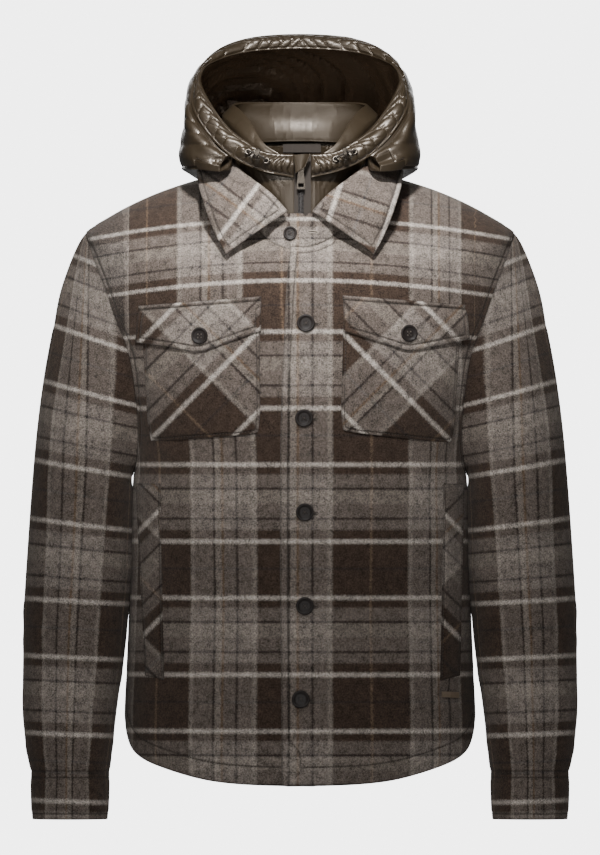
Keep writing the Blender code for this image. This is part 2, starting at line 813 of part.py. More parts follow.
# Button of the stand, on the wearer's right end, and one behind each cuff
SMALL_BUTTON = [(0.0, 0.0), (0.0060, 0.0), (0.0078, 0.0014), (0.0069, 0.0022), (0.0050, 0.0014), (0.0, 0.0012)]
lathe("button_collar", SMALL_BUTTON, (-0.0110, -0.1043 + 0.0058 - 0.0001, -0.0620), (0, -0.99, 0.12), "horn", 16)
for side, word in ((-1, "right"), (1, "left")):
    lathe("button_cuff_" + word, SMALL_BUTTON,
          (side * 0.2578, 0.0023, -0.6930), (0, 1, 0), "horn", 16)

# Hood, half of it from the zip to the centre back. Neck seam, five points of the panel,
# seam of the rim, free edge of the rim.
HOOD_NECK = [
    (0.0100, -0.0900, -0.0010),
    (0.0260, -0.0890, -0.0005),
    (0.0430, -0.0850, 0.0020),
    (0.0570, -0.0760, 0.0080),
    (0.0670, -0.0600, 0.0170),
    (0.0730, -0.0400, 0.0260),
    (0.0755, -0.0200, 0.0320),
    (0.0755, 0.0000, 0.0360),
    (0.0720, 0.0180, 0.0385),
    (0.0640, 0.0340, 0.0400),
    (0.0480, 0.0500, 0.0415),
    (0.0260, 0.0600, 0.0425),
    (0.0000, 0.0630, 0.0430),
]
HOOD_OVER = [
    (0.0100, -0.0920, 0.0000),
    (0.0260, -0.0912, 0.0002),
    (0.0440, -0.0905, 0.0045),
    (0.0610, -0.0880, 0.0120),
    (0.0750, -0.0690, 0.0265),
    (0.0870, -0.0520, 0.0370),
    (0.0950, -0.0340, 0.0450),
    (0.0965, -0.0040, 0.0510),
    (0.0930, 0.0270, 0.0550),
    (0.0830, 0.0530, 0.0570),
    (0.0620, 0.0770, 0.0590),
    (0.0330, 0.0920, 0.0610),
    (0.0000, 0.0960, 0.0620),
]
HOOD_DROP = [
    (0.0100, -0.0925, 0.0000),
    (0.0260, -0.0920, 0.0006),
    (0.0442, -0.0920, 0.0040),
    (0.0640, -0.0940, 0.0070),
    (0.0800, -0.0880, 0.0110),
    (0.0980, -0.0740, 0.0150),
    (0.1090, -0.0480, 0.0190),
    (0.1130, -0.0100, 0.0210),
    (0.1110, 0.0300, 0.0190),
    (0.1000, 0.0680, 0.0120),
    (0.0780, 0.1010, 0.0030),
    (0.0420, 0.1210, -0.0010),
    (0.0000, 0.1270, -0.0020),
]
HOOD_LOW = [
    (0.0100, -0.0930, 0.0000),
    (0.0260, -0.0925, 0.0012),
    (0.0445, -0.0930, 0.0040),
    (0.0670, -0.0985, 0.0070),
    (0.0900, -0.0980, 0.0090),
    (0.1110, -0.0850, 0.0110),
    (0.1250, -0.0580, 0.0120),
    (0.1300, -0.0180, 0.0130),
    (0.1290, 0.0300, 0.0110),
    (0.1200, 0.0800, 0.0050),
    (0.0960, 0.1220, -0.0040),
    (0.0520, 0.1480, -0.0080),
    (0.0000, 0.1560, -0.0090),
]
HOOD_SIDE = [
    (0.0100, -0.0935, 0.0005),
    (0.0260, -0.0930, 0.0020),
    (0.0440, -0.0935, 0.0048),
    (0.0660, -0.0960, 0.0090),
    (0.0900, -0.0960, 0.0160),
    (0.1130, -0.0840, 0.0260),
    (0.1290, -0.0600, 0.0380),
    (0.1335, -0.0200, 0.0480),
    (0.1330, 0.0320, 0.0520),
    (0.1270, 0.0880, 0.0500),
    (0.1050, 0.1400, 0.0420),
    (0.0570, 0.1700, 0.0380),
    (0.0000, 0.1780, 0.0360),
]
HOOD_HIGH = [
    (0.0100, -0.0935, 0.0008),
    (0.0260, -0.0930, 0.0028),
    (0.0435, -0.0925, 0.0062),
    (0.0640, -0.0930, 0.0120),
    (0.0850, -0.0920, 0.0215),
    (0.1090, -0.0800, 0.0380),
    (0.1270, -0.0580, 0.0620),
    (0.1285, -0.0240, 0.0800),
    (0.1270, 0.0200, 0.0960),
    (0.1200, 0.0660, 0.1060),
    (0.0980, 0.1080, 0.1140),
    (0.0540, 0.1320, 0.1200),
    (0.0000, 0.1390, 0.1220),
]
RIM_SEAM = [
    (0.0100, -0.0930, 0.0000),
    (0.0260, -0.0925, 0.0030),
    (0.0430, -0.0905, 0.0070),
    (0.0610, -0.0880, 0.0140),
    (0.0790, -0.0830, 0.0245),
    (0.1010, -0.0730, 0.0450),
    (0.1225, -0.0530, 0.0760),
    (0.1215, -0.0250, 0.0990),
    (0.1140, 0.0020, 0.1210),
    (0.0990, 0.0270, 0.1370),
    (0.0770, 0.0450, 0.1490),
    (0.0430, 0.0570, 0.1570),
    (0.0000, 0.0610, 0.1590),
]
RIM_EDGE = [
    (0.0100, -0.0890, 0.0270),
    (0.0260, -0.0885, 0.0275),
    (0.0430, -0.0855, 0.0310),
    (0.0580, -0.0800, 0.0400),
    (0.0730, -0.0730, 0.0500),
    (0.0900, -0.0610, 0.0670),
    (0.1050, -0.0440, 0.0900),
    (0.1120, -0.0240, 0.1110),
    (0.1050, -0.0010, 0.1240),
    (0.0900, 0.0190, 0.1310),
    (0.0690, 0.0340, 0.1370),
    (0.0380, 0.0430, 0.1410),
    (0.0000, 0.0460, 0.1425),
]


def zip_shift(x):
    """The zip runs a little to the wearer's left of the centre."""
    return 0.0028 * float(smooth((0.045 - abs(x)) / 0.035))


def hood_panel_point(f, w):
    """f runs from -1 (right front) over 0 (centre back) to 1, w from neck seam to rim seam."""
    t = 1.0 - abs(f)
    s = 1 if f > 0 else -1 if f < 0 else 0
    pts = [spline(line, t) for line in (HOOD_NECK, HOOD_OVER, HOOD_DROP, HOOD_LOW, HOOD_SIDE, HOOD_HIGH, RIM_SEAM)]
    p = spline(pts, w)
    return np.array([p[0] * s, p[1], p[2]])


def rim_point(f, w):
    t = 1.0 - abs(f)
    s = 1 if f > 0 else -1 if f < 0 else 0
    b = spline(RIM_SEAM, t)
    e = spline(RIM_EDGE, t)
    a = spline(HOOD_HIGH, t)
    along = unit(spline(RIM_SEAM, min(1.0, t + 0.02)) - spline(RIM_SEAM, max(0.0, t - 0.02)))
    out = unit(np.cross(along, e - b))
    if np.dot(out, b - np.array([0.0, 0.03, 0.06])) < 0:
        out = -out
    p = b * (1 - w) + e * w + out * 0.27 * np.linalg.norm(e - b) * math.sin(math.pi * w)
    shift = zip_shift(p[0]) if p[1] < 0 else 0.0
    return np.array([p[0] * s + shift, p[1], p[2]])


# Quilt lines of the hood panel: place on the way from neck seam to rim seam
PANEL_QUILTS = [0.42, 0.70]
PANEL_START = 0.67


def hood_relief(f, w):
    near = min([abs(w - q) for q in PANEL_QUILTS] + [w, 1 - w])
    puff = 0.0036 * (1 - math.exp(-(near / 0.07) ** 2))
    pull = 0.0009 * math.sin(46 * f + 9 * w) + 0.0006 * math.sin(93 * f - 14 * w + 1.0)
    return puff + pull * math.exp(-near / 0.10)


def pad_wall(w, full=PAD_WALL):
    return PAD_SEAM + (full - PAD_SEAM) * float(smooth(min(w, 1 - w) / 0.22))


def end_wall(f, start):
    """Padding runs out towards the pointed front ends of the hood panel."""
    if start <= -1.0:
        return 1.0
    return 0.6 + 0.4 * float(smooth((-start - abs(f)) / 0.16))


def padded(name, cols, rows, place, relief, full, look="nylon", start=-1.0, end=1.0, centre=(0, 0, 0.06),
           row_steps=None, seam_normals=None):
    outer = np.zeros((cols, rows, 3))
    steps = row_steps if row_steps is not None else [j / (rows - 1) for j in range(rows)]
    fs = [start + (end - start) * i / (cols - 1) for i in range(cols)]
    for i in range(cols):
        for j in range(rows):
            outer[i, j] = place(fs[i], steps[j])
    normal = grid_normals(outer)
    if np.sum(normal * (outer - np.array(centre))) < 0:
        normal = -normal
    walls = np.array([[pad_wall(w, full) * end_wall(f, start) for w in steps] for f in fs])
    inner = outer - normal * walls[:, :, None]
    lift = np.array([[relief(f, w) for w in steps] for f in fs])
    raised = outer + normal * lift[:, :, None]
    return slab(name, raised, inner, look), raised, inner


padded("hood_panel", 29, 11, lambda f, w: hood_panel_point(f, 0.012 + 0.983 * w), hood_relief,
       PAD_WALL, start=-PANEL_START, end=PANEL_START, centre=(0, 0.03, 0.07))


def rim_relief(f, w):
    edge_fade = math.sin(math.pi * min(max(w, 0.0), 1.0))
    return edge_fade * (0.0010 * math.sin(70 * f + 6 * w) + 0.0008 * math.sin(121 * f - 5 * w + 0.6))


rim_piece, rim_raised, rim_inside = padded("hood_rim", 39, 5, lambda f, w: rim_point(f, 0.025 + 0.975 * w), rim_relief, 0.0036,
                                           centre=(0, 0.03, 0.06))
RIM_SURFACE = surface_of([rim_piece])

# Inner collar of the bib, half of it from the zip to the centre back: top edge and foot
INNER_TOP = [
    (0.0100, -0.0760, 0.0220),
    (0.0240, -0.0745, 0.0270),
    (0.0380, -0.0690, 0.0360),
    (0.0470, -0.0590, 0.0470),
    (0.0540, -0.0450, 0.0600),
    (0.0620, -0.0270, 0.0710),
    (0.0700, -0.0070, 0.0790),
    (0.0755, 0.0130, 0.0830),
    (0.0720, 0.0320, 0.0850),
    (0.0600, 0.0460, 0.0860),
    (0.0400, 0.0550, 0.0860),
    (0.0210, 0.0590, 0.0860),
    (0.0000, 0.0600, 0.0860),
]
INNER_FOOT = [
    (0.0100, -0.0770, 0.0020),
    (0.0240, -0.0760, 0.0030),
    (0.0380, -0.0700, 0.0070),
    (0.0480, -0.0610, 0.0130),
    (0.0580, -0.0480, 0.0200),
    (0.0640, -0.0320, 0.0280),
    (0.0670, -0.0150, 0.0330),
    (0.0670, 0.0020, 0.0370),
    (0.0630, 0.0190, 0.0390),
    (0.0550, 0.0330, 0.0400),
    (0.0400, 0.0460, 0.0410),
    (0.0210, 0.0530, 0.0420),
    (0.0000, 0.0555, 0.0425),
]


def inner_collar_point(f, w):
    t = 1.0 - abs(f)
    s = 1 if f > 0 else -1 if f < 0 else 0
    top = spline(INNER_TOP, t)
    foot = spline(INNER_FOOT, t) * np.array([1.026, 1.026, 1.0])
    out = unit(np.array([top[0] + foot[0], top[1] + foot[1], 0.004]))
    side = math.exp(-((t - 0.52) / 0.20) ** 2)
    p = foot * (1 - w) + top * w + out * (0.003 + 0.013 * side) * math.sin(math.pi * w ** 1.6) ** 0.9
    shift = zip_shift(p[0]) if p[1] < 0 else 0.0
    return np.array([p[0] * s + shift, p[1], p[2]])


def inner_relief(f, w):
    return 0.0012 * math.sin(math.pi * w) * math.sin(38 * f + 4 * w)


padded("bib_collar", 25, 5, inner_collar_point, inner_relief, 0.0045, centre=(0, -0.01, 0.04))

# Bib, by step down from the neck: z in front, z at the side, z behind, half width,
# depth in front, depth behind
BIB = [
    (0.0, -0.0008, 0.0340, 0.0412, 0.0755, 0.0900, 0.0625),
    (1.0, -0.0380, 0.0180, 0.0240, 0.0760, 0.0885, 0.0711),
    (2.0, -0.0760, -0.0030, 0.0040, 0.0850, 0.0925, 0.0722),
    (3.0, -0.1180, -0.0250, -0.0250, 0.1180, 0.0990, 0.0810),
    (4.0, -0.1620, -0.0470, -0.0610, 0.1460, 0.1060, 0.0910),
    (5.0, -0.2000, -0.0650, -0.0960, 0.1620, 0.1110, 0.0980),
]


def bib_point(angle, step):
    a = float(table(BIB, step, 4))
    s = math.sin(angle)
    c = math.cos(angle)
    side_z = float(table(BIB, step, 2))
    w = abs(c) ** 1.5
    if c >= 0:
        return np.array([a * s, -float(table(BIB, step, 5)) * abs(c), side_z + (float(table(BIB, step, 1)) - side_z) * w])
    return np.array([a * s, float(table(BIB, step, 6)) * abs(c), side_z + (float(table(BIB, step, 3)) - side_z) * w])


BIB_QUILTS = [1.6, 2.7, 3.8]


def bib_piece(name, edge_x, start, end, cols):
    rows = 9
    outer = np.zeros((cols, rows, 3))
    inner = np.zeros((cols, rows, 3))
    for j in range(rows):
        step = 5.0 * j / (rows - 1)
        for i in range(cols):
            f = i / (cols - 1)
            lo = start
            if edge_x is not None:
                lo = math.asin(min(1.0, abs(edge_x) / float(table(BIB, step, 4)))) * math.copysign(1, edge_x)
            angle = lo + (end - lo) * f
            p = bib_point(angle, step)
            e = 0.01
            du = bib_point(angle + e, step) - bib_point(angle - e, step)
            hi = min(step + 0.05, 5.0)
            low = max(step - 0.05, 0.0)
            dv = bib_point(angle, low) - bib_point(angle, hi)
            n = unit(np.cross(du, dv))
            edge_fade = min(step, 5.0 - step, 5.0) / 5.0
            side_fade = min(f, 1 - f)
            wall = PAD_SEAM + 0.0040 * float(smooth(edge_fade / 0.12)) * float(smooth(side_fade / 0.12))
            near = min([abs(step - q) for q in BIB_QUILTS] + [step, 5.0 - step])
            puff = 0.0026 * (1 - math.exp(-(near / 0.35) ** 2)) * float(smooth(side_fade / 0.10))
            inner[i, j] = p - n * wall
            outer[i, j] = p + n * puff
    return slab(name, outer, inner, "nylon")


BIB_GAP = 0.006
bib_piece("bib_front_left", 0.0129, None, math.pi / 2 - BIB_GAP, 7)
bib_piece("bib_front_right", -0.0073, None, -math.pi / 2 + BIB_GAP, 7)
bib_piece("bib_back", None, math.pi / 2 + BIB_GAP, 1.5 * math.pi - BIB_GAP, 13)


def front_strip(name, x0, x1, z0, z1, depth_of, wall, look, rows):
    outer = np.zeros((2, rows, 3))
    inner = np.zeros((2, rows, 3))
    for j in range(rows):
        z = z0 + (z1 - z0) * j / (rows - 1)
        y = depth_of(z)
        for i, x in enumerate((x0, x1)):
            outer[i, j] = (x, y, z)
            inner[i, j] = (x, y + wall, z)
    return slab(name, outer, inner, look)


def zip_depth(z):
    rows = [(-0.2000, -0.1110), (-0.1620, -0.1060), (-0.1180, -0.0990), (-0.0760, -0.0925), (-0.0380, -0.0887),
            (-0.0020, -0.0890), (0.0270, -0.0880)]
    return float(table(rows, z))


front_strip("zip_tape", -0.0067, 0.0123, -0.1980, 0.0260, lambda z: zip_depth(z) + 0.0006, 0.0010, "tape", 13)
front_strip("zip_coil", -0.0022, 0.0042, -0.1960, 0.0066, lambda z: zip_depth(z) - 0.0019, 0.0020, "horn", 13)


def box(name, centre, size, look, chamfer=0.0006):
    """Block with its four front-to-back edges and its front face eased."""
    cx, cy, cz = centre
    hx, hy, hz = size[0] / 2, size[1] / 2, size[2] / 2
    c = chamfer
    outline = [(-hx + c, -hz), (hx - c, -hz), (hx, -hz + c), (hx, hz - c), (hx - c, hz), (-hx + c, hz),
               (-hx, hz - c), (-hx, -hz + c)]
    verts = []
    for y, k in ((-hy, 0.86), (-hy + c, 1.0), (hy, 1.0)):
        for x, z in outline:
            verts.append((cx + x * k, cy + y, cz + z * (1 - (1 - k) * 0.7)))
    faces = [tuple(range(8)), tuple(range(23, 15, -1))]
    for r in range(2):
        for k in range(8):
            n = (k + 1) % 8
            faces.append((r * 8 + k, (r + 1) * 8 + k, (r + 1) * 8 + n, r * 8 + n))
    return make(name, verts, faces, look)


# Slider on the coil, with a bail in front that the pull tab hangs from
SLIDER_Z = 0.0125
SLIDER_Y = zip_depth(SLIDER_Z) - 0.0022
box("zip_slider", (ZIP_X, SLIDER_Y, SLIDER_Z), (0.0085, 0.0036, 0.0105), "metal")

PULL_TOP = 0.0095
PULL_Y = SLIDER_Y - 0.0018 - 0.0016


def frame_plate(name, x_mid, y_mid, z_top, rows, wall, look):
    """Flat tab with one window. rows: (down, half width outside, half width of window)."""
    verts = []
    faces = []
    for y in (y_mid - wall / 2, y_mid + wall / 2):
        for down, half, hole in rows:
            for x in (-half, -hole, hole, half):
                verts.append((x_mid + x, y, z_top - down))
    n = len(rows) * 4

    def at(r, c, side):
        return side * n + r * 4 + c

    for r in range(len(rows) - 1):
        window = rows[r][2] > 0.0011 and rows[r + 1][2] > 0.0011
        for c in range(3):
            if c == 1 and window:
                continue
            faces.append((at(r, c, 0), at(r, c + 1, 0), at(r + 1, c + 1, 0), at(r + 1, c, 0)))
            faces.append((at(r, c, 1), at(r + 1, c, 1), at(r + 1, c + 1, 1), at(r, c + 1, 1)))
        for c in (0, 3):
            faces.append((at(r, c, 0), at(r + 1, c, 0), at(r + 1, c, 1), at(r, c, 1)))
        if window:
            for c in (1, 2):
                faces.append((at(r, c, 0), at(r + 1, c, 0), at(r + 1, c, 1), at(r, c, 1)))
            if not (r > 0 and rows[r - 1][2] > 0.0011):
                faces.append((at(r, 1, 0), at(r, 2, 0), at(r, 2, 1), at(r, 1, 1)))
            if not (r + 2 < len(rows) and rows[r + 2][2] > 0.0011):
                faces.append((at(r + 1, 1, 0), at(r + 1, 2, 0), at(r + 1, 2, 1), at(r + 1, 1, 1)))
    last = len(rows) - 1
    for r in (0, last):
        for c in range(3):
            faces.append((at(r, c, 0), at(r, c + 1, 0), at(r, c + 1, 1), at(r, c, 1)))
    return make(name, verts, faces, look)


PULL_ROWS = [
    (0.0000, 0.0030, 0.0010),
    (0.0040, 0.0034, 0.0010),
    (0.0110, 0.0040, 0.0010),
    (0.0150, 0.0046, 0.0010),
    (0.0156, 0.0046, 0.0031),
    (0.0198, 0.0047, 0.0031),
    (0.0204, 0.0047, 0.0010),
    (0.0222, 0.0047, 0.0010),
]
frame_plate("zip_pull", ZIP_X, PULL_Y, PULL_TOP, PULL_ROWS, 0.0014, "metal")


# Top of the zip, covered by a folded corner of the wearer's right rim
def guard():
    corners = [(-0.0072, 0.0262), (0.0120, 0.0275), (0.0058, 0.0125), (-0.0050, 0.0050)]
    cols, rows = 5, 6
    outer = np.zeros((cols, rows, 3))
    inner = np.zeros((cols, rows, 3))
    for i in range(cols):
        s = i / (cols - 1)
        for j in range(rows):
            t = j / (rows - 1)
            a = np.array(corners[0]) * (1 - t) + np.array(corners[3]) * t
            b = np.array(corners[1]) * (1 - t) + np.array(corners[2]) * t
            p = a * (1 - s) + b * s
            puff = 0.0022 * math.sin(math.pi * s)
            outer[i, j] = (p[0], -0.1018 - puff, p[1])
            inner[i, j] = (p[0], -0.0976, p[1])
    return slab("zip_guard", outer, inner, "nylon")


guard()

# Drawcord fittings on the rim: two eyelets, a cord lock and the short cord between them.
FITTINGS = {
    "right": {"eyes": ((248.2, 152.2), (266.4, 161.1)), "tilt": (-3.3, 11.4)},
    "left": {"eyes": ((354.0, 152.0), (335.6, 159.6)), "tilt": (-4.5, 12.0)},
}


def rim_at(x, z):
    """Nearest place of the rim's outside in front view, with its normal."""
    best = None
    sign = 1 if x > 0 else -1
    for i in range(0, 161):
        f = sign * (1.0 - 0.5 * i / 160.0)
        for j in range(0, 25):
            w = j / 24.0
            p = rim_point(f, 0.03 + 0.97 * w)
            d = (p[0] - x) ** 2 + (p[2] - z) ** 2
            if best is None or d < best[0]:
                best = (d, p, f, w)
    f, w = best[2], 0.03 + 0.97 * best[3]
    du = rim_point(f + 0.004 * sign * -1, w) - rim_point(f, w)
    dv = rim_point(f, min(w + 0.02, 1.0)) - rim_point(f, max(w - 0.02, 0.0))
    n = unit(np.cross(du, dv))
    if n[1] > 0:
        n = -n
    hit = RIM_SURFACE.ray_cast(Vector((x, -0.5, z)), Vector((0, 1, 0)))[0]
    return np.array(hit), n


def ring(name, centre, way, r_in, r_out, high, look, segs=14):
    profile = [
        (r_in, 0.0),
        (r_out, 0.0),
        (0.5 * (r_in + r_out), high),
        (r_in, high * 0.6),
    ]
    way = unit(way)
    side = unit(np.cross(way, [0.31, 0.2, 0.93]))
    other = np.cross(way, side)
    verts = []
    for k in range(segs):
        a = 2 * math.pi * k / segs
        for r, h in profile:
            verts.append(np.array(centre) + way * h + side * r * math.cos(a) + other * r * math.sin(a))
    m = len(profile)
    faces = []
    for k in range(segs):
        n = (k + 1) % segs
        for q in range(m):
            p = (q + 1) % m
            faces.append((k * m + q, n * m + q, n * m + p, k * m + p))
    return make(name, verts, faces, look)


def cord(name, points, radius, look="cord"):
    curve = bpy.data.curves.new(name, "CURVE")
    curve.dimensions = "3D"
    curve.bevel_depth = radius
    curve.bevel_resolution = 2
    curve.use_fill_caps = True
    line = curve.splines.new("POLY")
    line.points.add(len(points) - 1)
    for k, p in enumerate(points):
        line.points[k].co = (*p, 1.0)
    ob = bpy.data.objects.new(name, curve)
    bpy.context.scene.collection.objects.link(ob)
    colour, rough, metal = COLOURS[look]
    curve.materials.append(material(name + "_" + look, colour, rough, metal))
    return ob


def lock(name, centre, long_way, through, half_long, half_wide, half_deep, hole, look):
    """Barrel with a round hole across it for the cord."""
    through = unit(through)
    long_way = unit(long_way - through * np.dot(long_way, through))
    third = np.cross(through, long_way)
    segs = 14
    verts = []
    rows = [(-half_wide, hole, 0.84), (0.0, hole, 1.0), (half_wide, hole, 0.84)]
    m = len(rows)
    for k in range(segs):
        a = 2 * math.pi * k / segs
        c, s = math.cos(a), math.sin(a)
        for d, h, scale in rows:
            verts.append(centre + through * d + (long_way * half_long * c + third * half_deep * s) * scale)
        for d, h, scale in rows[::-1]:
            verts.append(centre + through * d + (long_way * c + third * s) * h)
    faces = []
    for k in range(segs):
        n = (k + 1) % segs
        for q in range(2 * m):
            p = (q + 1) % (2 * m)
            faces.append((k * 2 * m + q, n * 2 * m + q, n * 2 * m + p, k * 2 * m + p))
    return make(name, verts, faces, look)


CORD_R = 0.0012
CORD_RISE = 0.0100
for word, spec in FITTINGS.items():
    ends = []
    for k, (ac, dn) in enumerate(spec["eyes"]):
        x, z = view(ac, dn)
        p, n = rim_at(x, z)
        base = p + n * 0.0009
        ring("eyelet_%s_%d" % (word, k + 1), base, n, 0.0017, 0.0041, 0.0012, "metal")
        ends.append((base, n))
    (pa, na), (pb, nb) = ends
    mid_n = unit(na + nb)
    path = []
    for k in range(15):
        a = math.pi * k / 14.0
        path.append(0.5 * (pa + pb) - 0.5 * (pb - pa) * math.cos(a) + mid_n * CORD_RISE * math.sin(a))
    cord("drawcord_" + word, path, CORD_R)
    through = unit(path[8] - path[6])
    tx, tz = spec["tilt"]
    long_way = np.array([tx, 0.0, -tz])
    lock("cord_lock_" + word, path[7], long_way, through, 0.0066, 0.0026, 0.0031, CORD_R + 0.0007, "metal")

# Blank label on the tape at the back of the neck, inside
def neck_tape():
    cols, rows = 5, 2
    outer = np.zeros((cols, rows, 3))
    inner = np.zeros((cols, rows, 3))
    for i in range(cols):
        x = -0.0190 + 0.0425 * i / (cols - 1)
        for j in range(rows):
            z = 0.0300 + 0.0095 * j
            y = 0.0625 * math.sqrt(1 - (x / 0.0755) ** 2) - 0.0039
            outer[i, j] = (x, y - 0.0008, z)
            inner[i, j] = (x, y, z)
    return slab("neck_tape", outer, inner, "tape")


neck_tape()
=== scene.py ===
# Looks of the wool overshirt with its padded, hooded bib.
# Each cloth piece is a finer copy of its solid from the frame, with rounded edges,
# creases, stitching and its weave laid along the grain.
import bpy
import bmesh
import math
import numpy as np
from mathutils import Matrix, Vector
from mathutils.bvhtree import BVHTree
from mathutils.kdtree import KDTree


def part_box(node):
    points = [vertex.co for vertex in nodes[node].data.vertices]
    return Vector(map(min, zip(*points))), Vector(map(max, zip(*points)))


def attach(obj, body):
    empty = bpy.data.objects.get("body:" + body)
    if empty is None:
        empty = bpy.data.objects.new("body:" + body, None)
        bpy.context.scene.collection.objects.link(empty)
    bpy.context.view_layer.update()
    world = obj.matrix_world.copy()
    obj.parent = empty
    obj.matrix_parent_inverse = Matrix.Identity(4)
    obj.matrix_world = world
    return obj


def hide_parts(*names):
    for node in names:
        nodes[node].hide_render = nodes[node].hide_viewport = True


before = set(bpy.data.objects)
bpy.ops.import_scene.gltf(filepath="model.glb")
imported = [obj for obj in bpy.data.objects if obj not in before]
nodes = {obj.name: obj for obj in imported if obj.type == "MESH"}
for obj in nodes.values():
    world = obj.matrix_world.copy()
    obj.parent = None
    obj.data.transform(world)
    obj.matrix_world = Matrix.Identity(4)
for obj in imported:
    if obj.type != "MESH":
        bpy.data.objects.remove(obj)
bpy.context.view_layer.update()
mm = 0.001
pixel = 1.12 * mm
viewMiddle = (300.0, 178.0)  # where x = 0 and z = 0 lie in the front view


# Place in the front view, given in its own pixels, as x and z
def fromView(across, down):
    return (across - viewMiddle[0]) * pixel, (viewMiddle[1] - down) * pixel


def ease(x, low, high):
    t = np.clip((np.asarray(x, dtype=float) - low) / (high - low), 0.0, 1.0)
    return t * t * (3.0 - 2.0 * t)


def bump(x, width):
    return np.exp(-(np.asarray(x, dtype=float) / width) ** 2)


def unit(v):
    v = np.asarray(v, dtype=float)
    return v / np.maximum(np.linalg.norm(v, axis=-1, keepdims=True), 1e-12)


def linked(name, data):
    thing = bpy.data.objects.new(name, data)
    bpy.context.scene.collection.objects.link(thing)
    return thing


# Shader helpers

def add(tree, kind, inputs=None, **settings):
    node = tree.nodes.new(kind)
    for key, value in settings.items():
        setattr(node, key, value)
    for socket, value in (inputs or {}).items():
        if isinstance(value, bpy.types.NodeSocket):
            tree.links.new(value, node.inputs[socket])
        else:
            node.inputs[socket].default_value = value
    return node


def calc(tree, operation, a, b=0.0, c=0.0):
    return add(tree, "ShaderNodeMath", {0: a, 1: b, 2: c}, operation=operation).outputs[0]


def blendColour(tree, factor, a, b, kind="MIX"):
    node = add(tree, "ShaderNodeMix", {"Factor": factor, 6: a, 7: b}, data_type="RGBA", blend_type=kind)
    return node.outputs[2]


def darkened(tree, shade, amount):
    grey = add(tree, "ShaderNodeCombineColor", {0: amount, 1: amount, 2: amount}).outputs[0]
    return blendColour(tree, 1.0, shade, grey, "MULTIPLY")


def noise(tree, where, scale, detail=2.0, rough=0.5, **settings):
    values = {"Vector": where, "Scale": scale, "Detail": detail, "Roughness": rough}
    return add(tree, "ShaderNodeTexNoise", values, **settings).outputs[0]


# 1 on a line and 0 away from it, as value leaves 0
def lineMask(tree, value, width):
    off = calc(tree, "DIVIDE", value, width)
    return calc(tree, "EXPONENT", calc(tree, "MULTIPLY", calc(tree, "MULTIPLY", off, off), -1.0))


def newGroup(name, inputs, outputs):
    group = bpy.data.node_groups.new(name, "ShaderNodeTree")
    for label, kind, value in inputs:
        socket = group.interface.new_socket(label, in_out="INPUT", socket_type=kind)
        socket.default_value = value
    for label, kind in outputs:
        group.interface.new_socket(label, in_out="OUTPUT", socket_type=kind)
    return group, group.nodes.new("NodeGroupInput"), group.nodes.new("NodeGroupOutput")


# Linear colour from the usual 0 to 255 values
def colour(red, green, blue):
    out = []
    for value in (red, green, blue):
        v = value / 255.0
        out.append(v / 12.92 if v <= 0.04045 else ((v + 0.055) / 1.055) ** 2.4)
    return (*out, 1.0)


yarn = {
    "brown": colour(57, 45, 37),
    "deep": colour(30, 29, 31),
    "grey": colour(118, 109, 102),
    "pale": colour(138, 129, 120),
    "beige": colour(112, 92, 74),
    "white": colour(196, 187, 177),
    "chalk": colour(142, 133, 124),
}

# Bands of the cloth: where each starts, in millimetres from the middle of a white line, and its yarn
weftBands = [
    (0, "white"), (2.4, "brown"), (11, "grey"), (26, "deep"), (28, "pale"), (44, "grey"), (59.5, "deep"),
    (61.5, "grey"), (73, "brown"), (83.4, "white"), (88.4, "brown"), (115.4, "deep"), (117.4, "brown"),
    (146.6, "white"), (149, "white"),
]
warpBands = [
    (0, "chalk"), (2.8, "brown"), (45.8, "beige"), (48.0, "brown"), (91.8, "chalk"), (97, "grey"),
    (120, "deep"), (122, "pale"), (130, "beige"), (132, "grey"), (146.4, "deep"), (148.4, "grey"),
    (164.2, "chalk"), (167, "chalk"),
]
weftRepeat = weftBands[-1][0] * mm
warpRepeat = warpBands[-1][0] * mm

plaid = {
    "softness": 1.3,  # half the blur between two bands, in millimetres
    "frayScale": 750.0,
    "frayReach": 0.030,  # in repeats
    "twillPitch": 0.0021,
    "twillMix": 0.10,
    "fleckScale": 620.0,
    "fleckGain": (3.8, -1.15),
    "cloudScale": 130.0,
    "cloudGain": (1.5, -0.5),
    "darkest": 0.25,
    # seam and rim shade: painted shade, darkening the colour in the stitch grooves and at the cloth's edges
    "seam": {"width": 0.0011, "shade": -0.38, "height": -1.3},
    "rim": {"width": 0.0010, "shade": -0.4},
    "fuzz": {"scale": 900.0, "height": 0.8},
    "fleckHeight": 0.7,
    "twillHeight": 0.06,
}


# Colours along one repeat; phase runs from 0 to 1
def bands(tree, phase, rows):
    length = rows[-1][0]
    soft = plaid["softness"]
    ramp = add(tree, "ShaderNodeValToRGB", {0: phase})
    elements = ramp.color_ramp.elements
    elements[0].position = 0.0
    elements[0].color = yarn[rows[0][1]]
    elements[1].position = 1.0
    elements[1].color = yarn[rows[-1][1]]
    for before, after in zip(rows[:-1], rows[1:-1]):
        for place, word in ((after[0] - soft, before[1]), (after[0] + soft, after[1])):
            elements.new(place / length).color = yarn[word]
    return ramp.outputs[0]
